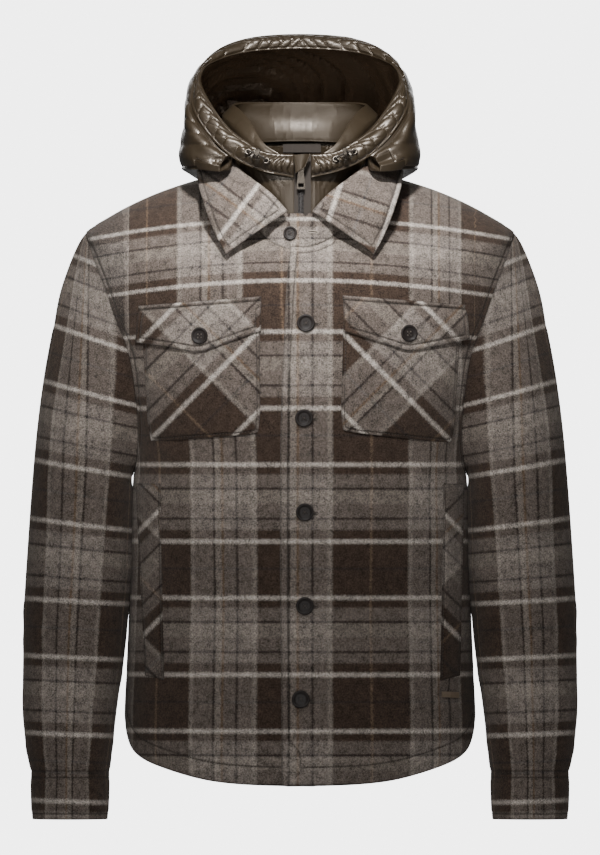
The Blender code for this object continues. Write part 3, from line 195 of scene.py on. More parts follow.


# Brushed plaid: weft and warp bands mixed by a twill, with flecked yarn, and painted shade in the stitch
# grooves and at the cloth's edges
def makePlaidGroup():
    group, start, end = newGroup("plaidCloth", [("Nap", "NodeSocketFloat", 1.0)],
                                 [("Colour", "NodeSocketColor"), ("Height", "NodeSocketFloat")])
    weave = add(group, "ShaderNodeUVMap", uv_map="weave").outputs[0]
    seam = add(group, "ShaderNodeUVMap", uv_map="seam").outputs[0]
    place = add(group, "ShaderNodeTexCoord").outputs["Object"]
    fray = add(group, "ShaderNodeTexNoise", {"Vector": place, "Scale": plaid["frayScale"], "Detail": 2.0})
    shift = add(group, "ShaderNodeVectorMath", {0: fray.outputs["Color"], 1: (0.5, 0.5, 0.5)},
                operation="SUBTRACT").outputs[0]
    frayed = add(group, "ShaderNodeVectorMath",
                 {0: shift, 1: (plaid["frayReach"], plaid["frayReach"], 0.0), 2: weave},
                 operation="MULTIPLY_ADD").outputs[0]
    parts = add(group, "ShaderNodeSeparateXYZ", {0: frayed})
    warp = bands(group, calc(group, "FRACT", parts.outputs[0]), warpBands)
    weft = bands(group, calc(group, "FRACT", parts.outputs[1]), weftBands)
    raw = add(group, "ShaderNodeSeparateXYZ", {0: weave})
    across = calc(group, "MULTIPLY", raw.outputs[0], warpRepeat)
    along = calc(group, "MULTIPLY", raw.outputs[1], weftRepeat)
    turns = 2 * math.pi / plaid["twillPitch"]
    twill = calc(group, "SINE", calc(group, "MULTIPLY", calc(group, "ADD", across, along), turns))
    share = calc(group, "MULTIPLY_ADD", twill, plaid["twillMix"], 0.50)
    cloth = blendColour(group, share, warp, weft)
    fleck = noise(group, place, plaid["fleckScale"], 3.0, 0.75)
    cloud = noise(group, place, plaid["cloudScale"], 3.0, 0.6)
    gain = calc(group, "ADD", calc(group, "MULTIPLY_ADD", fleck, *plaid["fleckGain"]),
                calc(group, "MULTIPLY_ADD", cloud, *plaid["cloudGain"]))
    mottled = darkened(group, cloth, calc(group, "MAXIMUM", gain, plaid["darkest"]))
    # Painted shade: the colour darkens in the stitch grooves and along the cloth's edges, where pieces
    # meet; the stitch line also sinks the bump height
    gaps = add(group, "ShaderNodeSeparateXYZ", {0: seam})
    seamLine = lineMask(group, gaps.outputs[0], plaid["seam"]["width"])
    rimShadeMask = lineMask(group, gaps.outputs[1], plaid["rim"]["width"])
    shade = calc(group, "ADD", calc(group, "MULTIPLY_ADD", seamLine, plaid["seam"]["shade"], 1.0),
                 calc(group, "MULTIPLY", rimShadeMask, plaid["rim"]["shade"]))
    fuzz = noise(group, place, plaid["fuzz"]["scale"], 3.0, 0.7)
    height = calc(group, "ADD", calc(group, "MULTIPLY", fuzz, plaid["fuzz"]["height"]),
                  calc(group, "MULTIPLY", fleck, plaid["fleckHeight"]))
    height = calc(group, "MULTIPLY_ADD", twill, plaid["twillHeight"], height)
    height = calc(group, "MULTIPLY", height, start.outputs[0])
    height = calc(group, "MULTIPLY_ADD", seamLine, plaid["seam"]["height"], height)
    group.links.new(darkened(group, mottled, shade), end.inputs[0])
    group.links.new(height, end.inputs[1])
    return group


def newMaterial(name, finish):
    material = bpy.data.materials.new(name)
    material.use_nodes = True
    shader = material.node_tree.nodes["Principled BSDF"]
    for label, value in finish.items():
        shader.inputs[label].default_value = value
    return material, material.node_tree, shader


def relief(tree, shader, height, strength, depth):
    raised = add(tree, "ShaderNodeBump", {"Height": height, "Strength": strength, "Distance": depth})
    tree.links.new(raised.outputs[0], shader.inputs["Normal"])


def paler(base, factor):
    return tuple(min(1.0, c * factor) for c in base[:3]) + (1.0,)


woolFinish = {
    "Roughness": 0.95,
    "Specular IOR Level": 0.12,
    "Sheen Weight": 0.12,
    "Sheen Roughness": 0.6,
    "Sheen Tint": (0.80, 0.74, 0.68, 1.0),
}


def makeWool():
    material, tree, shader = newMaterial("brushedWool", woolFinish)
    cloth = add(tree, "ShaderNodeGroup", node_tree=makePlaidGroup())
    tree.links.new(cloth.outputs[0], shader.inputs["Base Color"])
    relief(tree, shader, cloth.outputs[1], 0.75, 0.0009)
    return material


nylonFinish = {"Specular IOR Level": 0.75, "Metallic": 0.45}
nylonCrush = {"bendScale": 26.0, "bend": (0.9, 0.05), "smallScale": 240.0, "small": 0.14,
              "tone": (0.8, 0.1), "paler": 1.35, "dulling": 0.16, "brightest": -0.06}


# Glossy downproof nylon with small crushed creases
def makeNylon(name, base, rough, crinkle, scale=42.0, depth=1.1 * mm):
    material, tree, shader = newMaterial(name, nylonFinish)
    place = add(tree, "ShaderNodeTexCoord").outputs["Object"]
    bent = noise(tree, place, nylonCrush["bendScale"], 1.0)
    fold = noise(tree, place, scale, 2.0, 0.5, noise_type="RIDGED_MULTIFRACTAL")
    small = noise(tree, place, nylonCrush["smallScale"], 2.0, 0.5)
    crease = calc(tree, "MULTIPLY", fold, calc(tree, "MULTIPLY_ADD", bent, *nylonCrush["bend"]))
    relief(tree, shader, calc(tree, "ADD", crease, calc(tree, "MULTIPLY", small, nylonCrush["small"])),
           crinkle, depth)
    tone = blendColour(tree, calc(tree, "MULTIPLY_ADD", bent, *nylonCrush["tone"]), base,
                       paler(base, nylonCrush["paler"]))
    tree.links.new(tone, shader.inputs["Base Color"])
    shine = calc(tree, "MULTIPLY_ADD", small, nylonCrush["dulling"], rough + nylonCrush["brightest"])
    tree.links.new(shine, shader.inputs["Roughness"])
    return material


# Hard or woven trim with a fine grain
def makePlain(name, base, rough, metal=0.0, grain=500.0, depth=0.0002, spread=0.25, **finish):
    material, tree, shader = newMaterial(name, {"Metallic": metal, **finish})
    speck = noise(tree, add(tree, "ShaderNodeTexCoord").outputs["Object"], grain, 3.0, 0.6)
    tone = blendColour(tree, speck, paler(base, 1 - spread), paler(base, 1 + spread))
    tree.links.new(tone, shader.inputs["Base Color"])
    tree.links.new(calc(tree, "MULTIPLY_ADD", speck, 0.2, rough - 0.1), shader.inputs["Roughness"])
    relief(tree, shader, speck, 0.5, depth)
    return material


looks = {
    "wool": makeWool(),
    "nylon": makeNylon("oliveNylon", colour(52, 43, 31), 0.36, 0.35),
    "lining": makeNylon("brownLining", colour(92, 76, 60), 0.30, 1.0, 11.0, 9 * mm),
    "horn": makePlain("horn", colour(30, 24, 21), 0.5, grain=160.0, depth=0.0001, spread=0.45,
                      **{"Specular IOR Level": 0.3}),
    # Painted shade: near-black for the walls and floors of the button holes
    "holeShade": makePlain("paintedHoleShade", colour(12, 10, 9), 0.9),
    "thread": makePlain("thread", colour(62, 54, 48), 0.9, grain=2500.0),
    "paleThread": makePlain("paleThread", colour(150, 140, 128), 0.9, grain=2500.0),
    "metal": makePlain("burnishedMetal", colour(84, 78, 71), 0.34, 1.0, 900.0, 0.00005, 0.2),
    "bronze": makePlain("bronze", colour(142, 126, 108), 0.4, 0.5, 700.0, 0.00005, 0.3),
    "tape": makePlain("wovenTape", colour(42, 35, 29), 0.85, grain=1400.0, depth=0.0003),
    # Braid colour, also used for the painted shade in the buttonhole slits
    "cord": makePlain("braid", colour(44, 38, 32), 0.8, grain=1200.0, depth=0.0004),
    "floor": makePlain("paleFloor", (0.80, 0.80, 0.80, 1.0), 0.9, grain=3.0, depth=0.0001, spread=0.01),
}
print("materials made")


# Meshes

refine = {
    "weld": 1e-6,
    "joinAngle": math.radians(75),
    "joinShape": math.radians(100),
    "evenness": 1.5,
    "sharp": math.radians(48),  # edges sharper than this are the wall's own
    "onRim": 0.998,
    "fitTurns": 3,
    "fitShare": 0.8,
}


def newObject(name, points, faces, look, smooth=True):
    mesh = bpy.data.meshes.new(name)
    mesh.from_pydata([tuple(float(c) for c in p) for p in points], [], faces)
    mesh.validate()
    mesh.materials.append(looks[look])
    for face in mesh.polygons:
        face.use_smooth = smooth
    return linked(name, mesh)


# A frame node's mesh with its split corners joined again
def welded(name):
    work = bmesh.new()
    work.from_mesh(nodes[name].data)
    bmesh.ops.remove_doubles(work, verts=work.verts, dist=refine["weld"])
    return work


surfaces = {}


def surfaceOf(name):
    if name not in surfaces:
        work = bmesh.new()
        work.from_mesh(nodes[name].data)
        surfaces[name] = BVHTree.FromBMesh(work)
        work.free()
    return surfaces[name]


# Distance of each point to the named solids, or 1 m beyond reach
def gapTo(points, names, reach):
    nearest = np.full(len(points), 1.0)
    for name in names:
        surface = surfaceOf(name)
        for k, p in enumerate(points):
            hit = surface.find_nearest(Vector(p), reach)
            if hit[0] is not None:
                nearest[k] = min(nearest[k], hit[3])
    return nearest


# Tests of edge points, used to choose where a seam runs
def nextTo(names, reach):
    def test(points):
        return gapTo(points, names, reach) < 1.0
    return test


def awayFrom(names, reach):
    def test(points):
        return gapTo(points, names, reach) == 1.0
    return test


def above(level):
    def test(points):
        return points[:, 2] > level
    return test


def below(level):
    def test(points):
        return points[:, 2] < level
    return test


pieces = {}


# A finer copy of a cloth solid, with what is needed to crease, sew and weave it
class Piece:

    def __init__(self, node, look, centre, level=3, crease=0.6, inside=None):
        name = look + "_" + node
        self.node = node
        work = welded(node)
        bmesh.ops.join_triangles(work, faces=work.faces, angle_face_threshold=refine["joinAngle"],
                                 angle_shape_threshold=refine["joinShape"],
                                 topology_influence=refine["evenness"])
        creases = work.edges.layers.float.new("crease_edge")
        rims = work.verts.layers.float.new("rim")
        sides = work.verts.layers.float.new("side")
        for edge in work.edges:
            if len(edge.link_faces) == 2 and edge.calc_face_angle(0.0) > refine["sharp"]:
                edge[creases] = crease
                for vertex in edge.verts:
                    vertex[rims] = 1.0
        self.spread(work, rims, sides, np.array(centre))
        mesh = bpy.data.meshes.new(name)
        work.to_mesh(mesh)
        work.free()
        rough = linked(name + "_rough", mesh)
        finer = rough.modifiers.new("finer", "SUBSURF")
        self.fit(rough, finer)
        finer.levels = level
        finer.render_levels = level
        graph = bpy.context.evaluated_depsgraph_get()
        self.mesh = bpy.data.meshes.new_from_object(rough.evaluated_get(graph))
        bpy.data.objects.remove(rough, do_unlink=True)
        self.mesh.name = name
        self.object = linked(name, self.mesh)
        self.mesh.materials.clear()
        self.mesh.materials.append(looks[look])
        self.points = self.read("vertices", "co")
        self.rim = self.layer("rim") > refine["onRim"]
        self.side = np.sign(np.where(self.rim, 0.0, self.layer("side")))
        self.measure()
        self.rimPoints = self.denseRim()
        self.rimGap = self.distance(self.rimPoints)
        self.stitchGap = np.full(len(self.points), 1.0)
        if inside:
            self.mesh.materials.append(looks[inside])
            inner = self.side[self.corners("vertex_index").reshape(-1, 4)].min(axis=1) < -0.5
            self.mesh.polygons.foreach_set("material_index", inner.astype(int))
        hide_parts(node)
        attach(self.object, "garment")
        pieces[node] = self

    # Moves the coarse points until the rounded surface passes through the solid's own
    def fit(self, rough, finer):
        finer.levels = 1
        wanted = np.zeros(len(rough.data.vertices) * 3)
        rough.data.vertices.foreach_get("co", wanted)
        held = wanted.copy()
        for turn in range(refine["fitTurns"]):
            graph = bpy.context.evaluated_depsgraph_get()
            trial = bpy.data.meshes.new_from_object(rough.evaluated_get(graph))
            found = np.zeros(len(trial.vertices) * 3)
            trial.vertices.foreach_get("co", found)
            bpy.data.meshes.remove(trial)
            held = held + refine["fitShare"] * (wanted - found[:len(wanted)])
            rough.data.vertices.foreach_set("co", held)
            rough.data.update()

    # Marks the two faces of the wall: 1 outside, -1 inside, 0 on its edges
    def spread(self, work, rims, sides, centre):
        work.normal_update()
        left = {v for v in work.verts if v[rims] < 0.5}
        while left:
            queue = [left.pop()]
            patch = list(queue)
            while queue:
                for face in queue.pop().link_faces:
                    for other in face.verts:
                        if other in left:
                            left.discard(other)
                            patch.append(other)
                            queue.append(other)
            facing = sum(np.dot(v.normal, np.array(v.co) - centre) for v in patch)
            for vertex in patch:
                vertex[sides] = 1.0 if facing > 0 else -1.0

    def read(self, kind, label):
        holder = getattr(self.mesh, kind)
        values = np.zeros(len(holder) * 3)
        holder.foreach_get(label, values)
        return values.reshape(-1, 3)

    def layer(self, name):
        values = np.zeros(len(self.mesh.vertices))
        self.mesh.attributes[name].data.foreach_get("value", values)
        return values

    def corners(self, label):
        values = np.zeros(len(self.mesh.loops), dtype=int)
        self.mesh.loops.foreach_get(label, values)
        return values

    def edgePairs(self):
        pairs = np.zeros(len(self.mesh.edges) * 2, dtype=int)
        self.mesh.edges.foreach_get("vertices", pairs)
        return pairs.reshape(-1, 2)

    def measure(self):
        self.mesh.update()
        self.normals = self.read("vertices", "normal")
        self.outward = self.normals * self.side[:, None]

    # Points along the wall's edges, and the middles between them
    def denseRim(self):
        pairs = self.edgePairs()
        both = self.rim[pairs[:, 0]] & self.rim[pairs[:, 1]]
        middles = 0.5 * (self.points[pairs[both, 0]] + self.points[pairs[both, 1]])
        return np.vstack([self.points[self.rim], middles])

    def distance(self, targets):
        tree = KDTree(len(targets))
        for k, p in enumerate(targets):
            tree.insert(Vector(p), k)
        tree.balance()
        return np.array([tree.find(Vector(p))[2] for p in self.points])

    def shift(self, ways):
        self.points = self.points + ways
        self.mesh.vertices.foreach_set("co", self.points.ravel())
        self.measure()

    # Lifts the cloth outwards by height; both faces together, or the outside alone
    def move(self, height, both=True):
        height = np.where(self.side > 0, height, height if both else 0.0)
        self.shift(self.outward * height[:, None])

    # Lifts each face of the wall along its own normal
    def swell(self, outer, inner):
        height = np.where(self.side > 0, outer, np.where(self.side < 0, inner, 0.0))
        self.shift(self.normals * height[:, None])

    # Stitch lines: rules are (test of an edge point, distance in from such edges)
    def sewAt(self, rules):
        for test, inset in rules:
            chosen = self.rimPoints[test(self.rimPoints)]
            if len(chosen):
                self.stitchGap = np.minimum(self.stitchGap, self.distance(chosen) - inset)

    # Stores the grain: warp and weft places in metres; turn is where across starts again
    def weave(self, across, along, turn=None):
        loops = self.corners("vertex_index")
        u = (across / warpRepeat)[loops]
        v = (along / weftRepeat)[loops]
        if turn:
            faces = u.reshape(-1, 4)
            size = turn / warpRepeat
            jump = (faces.max(axis=1) - faces.min(axis=1)) > 0.5 * size
            part = faces[jump]
            faces[jump] = np.where(part < part.mean(axis=1, keepdims=True), part + size, part)
            u = faces.ravel()
        layer = self.mesh.uv_layers.new(name="weave")
        layer.data.foreach_set("uv", np.column_stack([u, v]).ravel())
        self.keepSeams()

    # The seam map holds stitch and edge distances, which the plaid uses for its painted shade and its
    # groove
    def keepSeams(self):
        loops = self.corners("vertex_index")
        off = np.where(self.side > 0, self.stitchGap, 1.0)
        layer = self.mesh.uv_layers.new(name="seam")
        layer.data.foreach_set("uv", np.column_stack([off[loops], self.rimGap[loops]]).ravel())

    # Lines on the outside where stitchGap is zero
    def contour(self):
        pairs = self.edgePairs()
        a = self.stitchGap[pairs[:, 0]]
        b = self.stitchGap[pairs[:, 1]]
        outside = (self.side[pairs[:, 0]] > 0) & (self.side[pairs[:, 1]] > 0)
        cut = outside & ((a < 0) != (b < 0))
        share = np.where(cut, a / np.where(a == b, 1.0, a - b), 0.0)[:, None]
        places = self.points[pairs[:, 0]] * (1 - share) + self.points[pairs[:, 1]] * share
        ways = unit(self.normals[pairs[:, 0]] * (1 - share) + self.normals[pairs[:, 1]] * share)
        faces = self.corners("edge_index").reshape(-1, 4)
        crossed = cut[faces]
        twice = crossed.sum(axis=1) == 2
        links = {}
        for face, marks in zip(faces[twice], crossed[twice]):
            one, two = face[marks]
            links.setdefault(one, []).append(two)
            links.setdefault(two, []).append(one)
        lines = []
        seen = set()
        for start in sorted(links, key=lambda e: (len(links[e]), e)):
            if start in seen:
                continue
            line = [start]
            seen.add(start)
            while True:
                ahead = [e for e in links[line[-1]] if e not in seen]
                if not ahead:
                    break
                line.append(ahead[0])
                seen.add(ahead[0])
            if len(links[start]) == 2 and start in links[line[-1]] and len(line) > 3:
                line.append(start)
            if len(line) > 3:
                lines.append((places[line], ways[line]))
        return lines


threadGrain = {"start": 0.15, "shoulders": (0.22, 0.78), "crown": 0.4, "foot": 0.5, "sink": 0.05 * mm}


# Short thread grains along lines of (points, normals)
def stitches(name, lines, pitch=3.6 * mm, length=2.5 * mm, thick=0.42 * mm):
    points = []
    faces = []
    for place, way in lines:
        steps = np.linalg.norm(np.diff(place, axis=0), axis=1)
        run = np.concatenate([[0.0], np.cumsum(steps)])
        number = int(run[-1] / pitch)
        if number < 2:
            continue
        for k in range(number):
            s0 = (k + threadGrain["start"]) * run[-1] / number
            s1 = s0 + length
            if s1 > run[-1]:
                break
            a = np.array([np.interp(s0, run, place[:, c]) for c in range(3)])
            b = np.array([np.interp(s1, run, place[:, c]) for c in range(3)])
            n = unit(np.array([np.interp(0.5 * (s0 + s1), run, way[:, c]) for c in range(3)]))
            side = unit(np.cross(unit(b - a), n)) * thick
            lift = n * (thick - threadGrain["sink"]) + n * thick * threadGrain["crown"]
            foot = n * thick * threadGrain["foot"]
            base = len(points)
            points += [a - foot, b - foot]
            for t in threadGrain["shoulders"]:
                middle = a * (1 - t) + b * t
                points += [middle + side, middle + lift, middle - side, middle - n * thick]
            for i in range(4):
                j = (i + 1) % 4
                faces.append((base, base + 2 + i, base + 2 + j))
                faces.append((base + 2 + i, base + 6 + i, base + 6 + j, base + 2 + j))
                faces.append((base + 6 + i, base + 1, base + 6 + j))
    if points:
        thread = newObject(name, points, faces, "thread")
        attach(thread, "garment")


# Sum of waves round a ring; orders are whole numbers so that it closes
def ripple(turn, orders, seed):
    random = np.random.default_rng(seed)
    total = np.zeros(len(turn))
    for order in orders:
        total += random.uniform(0.5, 1.0) * np.sin(order * turn + random.uniform(0, 6.28))
    return total / len(orders) * 1.6


# Soft ridges and troughs in the front or back view
def folds(points, rows, front=True):
    total = np.zeros(len(points))
    facing = points[:, 1] < 0.0 if front else points[:, 1] > 0.0
    for x, z, length, width, angle, height in rows:
        a = math.radians(angle)
        dx = points[:, 0] - x
        dz = points[:, 2] - z
        along = dx * math.cos(a) + dz * math.sin(a)
        across = -dx * math.sin(a) + dz * math.cos(a)
        total += height * np.exp(-(along / length) ** 2 - (across / width) ** 2)
    return np.where(facing, total, 0.0)


# Grain of the body: how far round from the centre front, and how far up

girth = {"half": 0.197, "front": 0.139, "back": 0.126, "square": 0.86}
bodyGrain = {
    "firstWeft": 0.3209,  # a white line crosses the front this far below the neck
    "leftWarp": -0.0336,
    "rightWarp": 0.2184,
    "rightLean": 0.016,
    "backWarp": 0.120,
    "backHalf": 0.530,
    "leanBetween": (-0.33, -0.13),
    "bow": 0.016,
    "bowBetween": (-0.24, -0.11),
    "bowHalf": 0.2,
    "flatBetween": (-0.32, -0.18),  # over these heights the chest's own round is left out
    "flatMost": 0.995,
}
levelRows = [(-0.900, -0.900), (-0.1718, -0.1718), (-0.1147, -0.1089), (-0.0459, -0.0228),
             (0.020, 0.065), (0.060, 0.110)]  # height in space, height along the cloth


def column(rows, k):
    return [row[k] for row in rows]


# Distance round the body from the centre front, signed like x
def roundBody(points):
    square = girth["square"]
    turns = np.linspace(0, math.pi, 181)
    depth = np.where(turns < math.pi / 2, girth["front"], girth["back"])
    x = girth["half"] * np.abs(np.sin(turns)) ** square
    y = -depth * np.sign(np.cos(turns)) * np.abs(np.cos(turns)) ** square
    run = np.concatenate([[0.0], np.cumsum(np.hypot(np.diff(x), np.diff(y)))])
    wide = np.maximum(girth["half"], np.abs(points[:, 0]))
    deep = np.where(points[:, 1] < 0, girth["front"], girth["back"])
    s = (np.abs(points[:, 0]) / wide) ** (1.0 / square)
    c = -np.sign(points[:, 1]) * (np.abs(points[:, 1]) / deep) ** (1.0 / square)
    return np.sign(points[:, 0]) * np.interp(np.arctan2(s, c), turns, run)


# Height along the cloth, with the bands a little higher at the centre of the chest
def upBody(points):
    bow = bodyGrain["bow"] * ease(points[:, 2], *bodyGrain["bowBetween"])
    z = points[:, 2] + bow * (np.abs(points[:, 0]) / bodyGrain["bowHalf"]) ** 2
    return np.interp(z, column(levelRows, 0), column(levelRows, 1))


def weftPlace(height):
    return -bodyGrain["firstWeft"] - height


# The wearer's right front has its own stretch of the warp, leaning a little
def frontWarp(points, side):
    flat = points.copy()
    out = np.clip(np.abs(points[:, 0]) / girth["half"], 0.0, bodyGrain["flatMost"])
    share = out ** (2.0 / girth["square"])
    lie = -girth["front"] * (1.0 - share) ** (0.5 * girth["square"])
    high = ease(points[:, 2], *bodyGrain["flatBetween"])
    flat[:, 1] = points[:, 1] * (1 - high) + lie * high
    run = roundBody(flat)
    if side > 0:
        return run + bodyGrain["leftWarp"]
    lean = bodyGrain["rightLean"] * ease(points[:, 2], *bodyGrain["leanBetween"])
    return run + bodyGrain["rightWarp"] + lean


edgeZones = {"frontHalf": 0.032, "frontDepth": -0.08, "hem": -0.650, "hemRise": 0.075,
             "hemRiseBetween": (0.165, 0.197)}


def frontEdge(points):
    return (np.abs(points[:, 0]) < edgeZones["frontHalf"]) & (points[:, 1] < edgeZones["frontDepth"])


# The hem curves up towards the side seams
def hemEdge(points):
    rise = edgeZones["hemRise"] * ease(np.abs(points[:, 0]), *edgeZones["hemRiseBetween"])
    return points[:, 2] < edgeZones["hem"] + rise


cloth = {"puff": 0.8 * mm, "puffReach": 7 * mm, "groove": 0.75 * mm, "grooveWidth": 2.4 * mm}
seams = {"hem": 20 * mm, "armhole": 6.5 * mm, "front": 7.5 * mm, "cuffTop": 7.5 * mm, "cuffEdge": 6 * mm,
         "collar": 6.2 * mm, "touch": 2.2 * mm}


# Thick cloth stands up between its seams
def bodyPuff(piece, clear=1.0):
    piece.move(cloth["puff"] * ease(piece.rimGap, 0.0, cloth["puffReach"]) * clear, both=False)


# Groove and thread along the stitch lines
def sewn(piece, rules):
    piece.sewAt(rules)
    groove = bump(piece.stitchGap, cloth["grooveWidth"]) * (piece.rimGap > 1 * mm)
    piece.move(-cloth["groove"] * groove, both=False)
    stitches(piece.node + "_stitches", piece.contour())


# x, z, half length, half width, angle in degrees, height
frontFolds = [
    (0.150, -0.300, 0.070, 0.012, 62, 1.6 * mm),
    (0.165, -0.360, 0.080, 0.014, 74, 1.4 * mm),
    (0.120, -0.560, 0.110, 0.026, 84, 1.3 * mm),
    (0.060, -0.610, 0.090, 0.024, 96, 1.0 * mm),
    (0.170, -0.500, 0.120, 0.022, 92, 1.2 * mm),
    (0.060, -0.150, 0.050, 0.016, 20, 1.1 * mm),
    (0.090, -0.470, 0.050, 0.020, 12, -0.8 * mm),
]
backFolds = [
    (0.120, -0.180, 0.120, 0.022, 70, 2.0 * mm),
    (-0.118, -0.190, 0.110, 0.024, 112, 2.0 * mm),
    (0.030, -0.420, 0.160, 0.030, 85, 1.5 * mm),
    (-0.070, -0.480, 0.140, 0.028, 97, 1.6 * mm),
    (0.110, -0.540, 0.110, 0.026, 92, 1.4 * mm),
    (0.000, -0.300, 0.090, 0.030, 5, -1.2 * mm),
    (-0.150, -0.380, 0.080, 0.016, 60, 1.6 * mm),
    (0.152, -0.370, 0.080, 0.016, 118, 1.6 * mm),
]


def mirrored(rows, side):
    return [(x * side, z, length, width, angle if side > 0 else 180 - angle, height)
            for x, z, length, width, angle, height in rows]


sideWords = ((1, "left"), (-1, "right"))
frontButtons = ["button_front_%d" % k for k in range(1, 6)]

for side, word in sideWords:
    front = Piece("front_" + word, "wool", (0, 0, -0.35))
    fittings = frontButtons + ["hem_plate"] if side > 0 else []
    clear = ease(gapTo(front.points, fittings, 9 * mm), 1 * mm, 9 * mm)
    calm = ease(front.rimGap, 4 * mm, 30 * mm)
    front.move(folds(front.points, mirrored(frontFolds, side)) * calm * clear)
    bodyPuff(front, clear)
    rules = [(hemEdge, seams["hem"]), (nextTo(["sleeve_" + word], seams["touch"]), seams["armhole"])]
    if side > 0:
        rules.append((frontEdge, seams["front"]))
    sewn(front, rules)
    front.weave(frontWarp(front.points, side), weftPlace(upBody(front.points)))

back = Piece("back", "wool", (0, 0, -0.35))
back.move(folds(back.points, backFolds, front=False) * ease(back.rimGap, 4 * mm, 30 * mm))
bodyPuff(back)
armholes = nextTo(["sleeve_left", "sleeve_right"], seams["touch"])
sewn(back, [(hemEdge, seams["hem"]), (armholes, seams["armhole"])])
fromSide = bodyGrain["backHalf"] - np.abs(roundBody(back.points))
back.weave(np.sign(back.points[:, 0]) * fromSide + bodyGrain["backWarp"], weftPlace(upBody(back.points)))
print("body made")


# Sleeves: grain runs down each sleeve, and its bands drop towards the body
sleeveGrain = {"stretch": 0.070, "turnAt": math.radians(65), "warp": 0.0944, "rise": -0.0812,
               "cuffRise": 0.012, "level": 0.243, "slantPer": 60.0}
slopeRows = [(-0.720, 0.03), (-0.480, 0.05), (-0.325, 0.17), (-0.240, 0.27), (-0.176, 0.35),
             (-0.060, 0.42)]
sleeveMiddle = [(-0.66, 0.2576, -0.042), (-0.52, 0.2538, -0.020), (-0.33, 0.2440, -0.003),
                (-0.06, 0.2380, 0.0)]

# Height, middle in degrees, half height, half spread in degrees, slant, depth of the fold
sleeveCreases = [
    (-0.410, 0, 0.120, 50, 0.0, 4.4 * mm),
    (-0.445, 40, 0.010, 50, -0.030, 1.6 * mm), (-0.480, 75, 0.008, 46, 0.026, 1.8 * mm),
    (-0.505, 130, 0.009, 50, -0.016, 1.5 * mm), (-0.540, 60, 0.009, 56, 0.020, 1.8 * mm),
    (-0.585, 110, 0.010, 60, -0.014, 1.3 * mm), (-0.620, 70, 0.009, 70, 0.010, 1.5 * mm),
    (-0.645, 140, 0.008, 60, 0.006, 1.2 * mm), (-0.470, 230, 0.010, 60, 0.018, 1.7 * mm),
    (-0.520, 270, 0.011, 64, -0.020, 1.8 * mm), (-0.570, 240, 0.010, 60, 0.014, 1.5 * mm),
    (-0.280, 50, 0.014, 40, -0.040, 1.5 * mm), (-0.230, 75, 0.016, 40, -0.050, 1.4 * mm),
]


# Angle round the sleeve from its side towards the body, over the front
def sleeveTurn(points):
    z = points[:, 2]
    middle = np.interp(z, column(sleeveMiddle, 0), column(sleeveMiddle, 1))
    depth = np.interp(z, column(sleeveMiddle, 0), column(sleeveMiddle, 2))
    return np.mod(np.arctan2(depth - points[:, 1], middle - np.abs(points[:, 0])), 2 * math.pi)


def sleeveUp(points):
    slope = np.interp(points[:, 2], column(slopeRows, 0), column(slopeRows, 1))
    return points[:, 2] + slope * (sleeveGrain["level"] - np.abs(points[:, 0])) + sleeveGrain["rise"]


def sleeveWaves(points):
    total = np.zeros(len(points))
    degrees = np.degrees(sleeveTurn(points))
    for level, middle, tall, spread, slant, height in sleeveCreases:
        off = (degrees - middle + 180) % 360 - 180
        drop = (points[:, 2] - level - slant * off / sleeveGrain["slantPer"]) / tall
        total += height * np.exp(-drop ** 2 - (off / spread) ** 2)
    return total


def weaveSleeve(piece, rise=0.0):
    stretch = sleeveGrain["stretch"]
    across = (sleeveTurn(piece.points) - sleeveGrain["turnAt"]) * stretch + sleeveGrain["warp"]
    piece.weave(across, weftPlace(sleeveUp(piece.points) + rise), turn=2 * math.pi * stretch)


for side, word in sideWords:
    sleeve = Piece("sleeve_" + word, "wool", (0.247 * side, -0.01, -0.36))
    sleeve.move(sleeveWaves(sleeve.points) * ease(sleeve.rimGap, 4 * mm, 26 * mm))
    bodyPuff(sleeve)
    weaveSleeve(sleeve)
    cuff = Piece("cuff_" + word, "wool", (0.2575 * side, -0.044, -0.69))
    bodyPuff(cuff)
    sewn(cuff, [(above(-0.668), seams["cuffTop"]), (below(-0.712), seams["cuffEdge"])])
    weaveSleeve(cuff, sleeveGrain["cuffRise"])
print("sleeves made")


# Collar: grain follows the fold line
stand = Piece("collar_stand", "wool", (0, -0.01, 0.0), crease=0.9)
bodyPuff(stand)
stand.weave(stand.points[:, 0] + bodyGrain["leftWarp"], weftPlace(upBody(stand.points)))

leafGrain = {
    "right": {"start": fromView(256.6, 187.5), "lean": (0.60, 0.80)},
    "left": {"start": fromView(398.0, 190.0), "lean": (0.316, 0.95)},
    "behind": (-0.030, 0.020),
    "backShift": 0.060,
    "warp": 0.100,
}


# Places across and down one half of the leaf, from where its fold starts
def leafPlaces(points, plan):
    dx = points[:, 0] - plan["start"][0]
    dz = points[:, 2] - plan["start"][1]
    lean, fall = plan["lean"]
    return -fall * dx + lean * dz, -lean * dx - fall * dz


leaf = Piece("collar_leaf", "wool", (0, -0.01, -0.05))
rightAcross, rightDown = leafPlaces(leaf.points, leafGrain["right"])
leftAcross, leftDown = leafPlaces(leaf.points, leafGrain["left"])
onRight = leaf.points[:, 0] < 0
behind = ease(leaf.points[:, 1], *leafGrain["behind"])
leafAcross = ((1 - behind) * np.where(onRight, rightAcross, leftAcross)
              + behind * (leaf.points[:, 0] + leafGrain["backShift"]))
leafDown = (1 - behind) * np.where(onRight, rightDown, leftDown) - behind * leaf.points[:, 2]
leaf.move(1.1 * mm * ease(leaf.rimGap, 0.0, 5 * mm), both=False)
sewn(leaf, [(awayFrom(["collar_stand"], 7.5 * mm), seams["collar"])])
leaf.weave(leafDown + leafGrain["warp"], -leafAcross)
print("collar made")


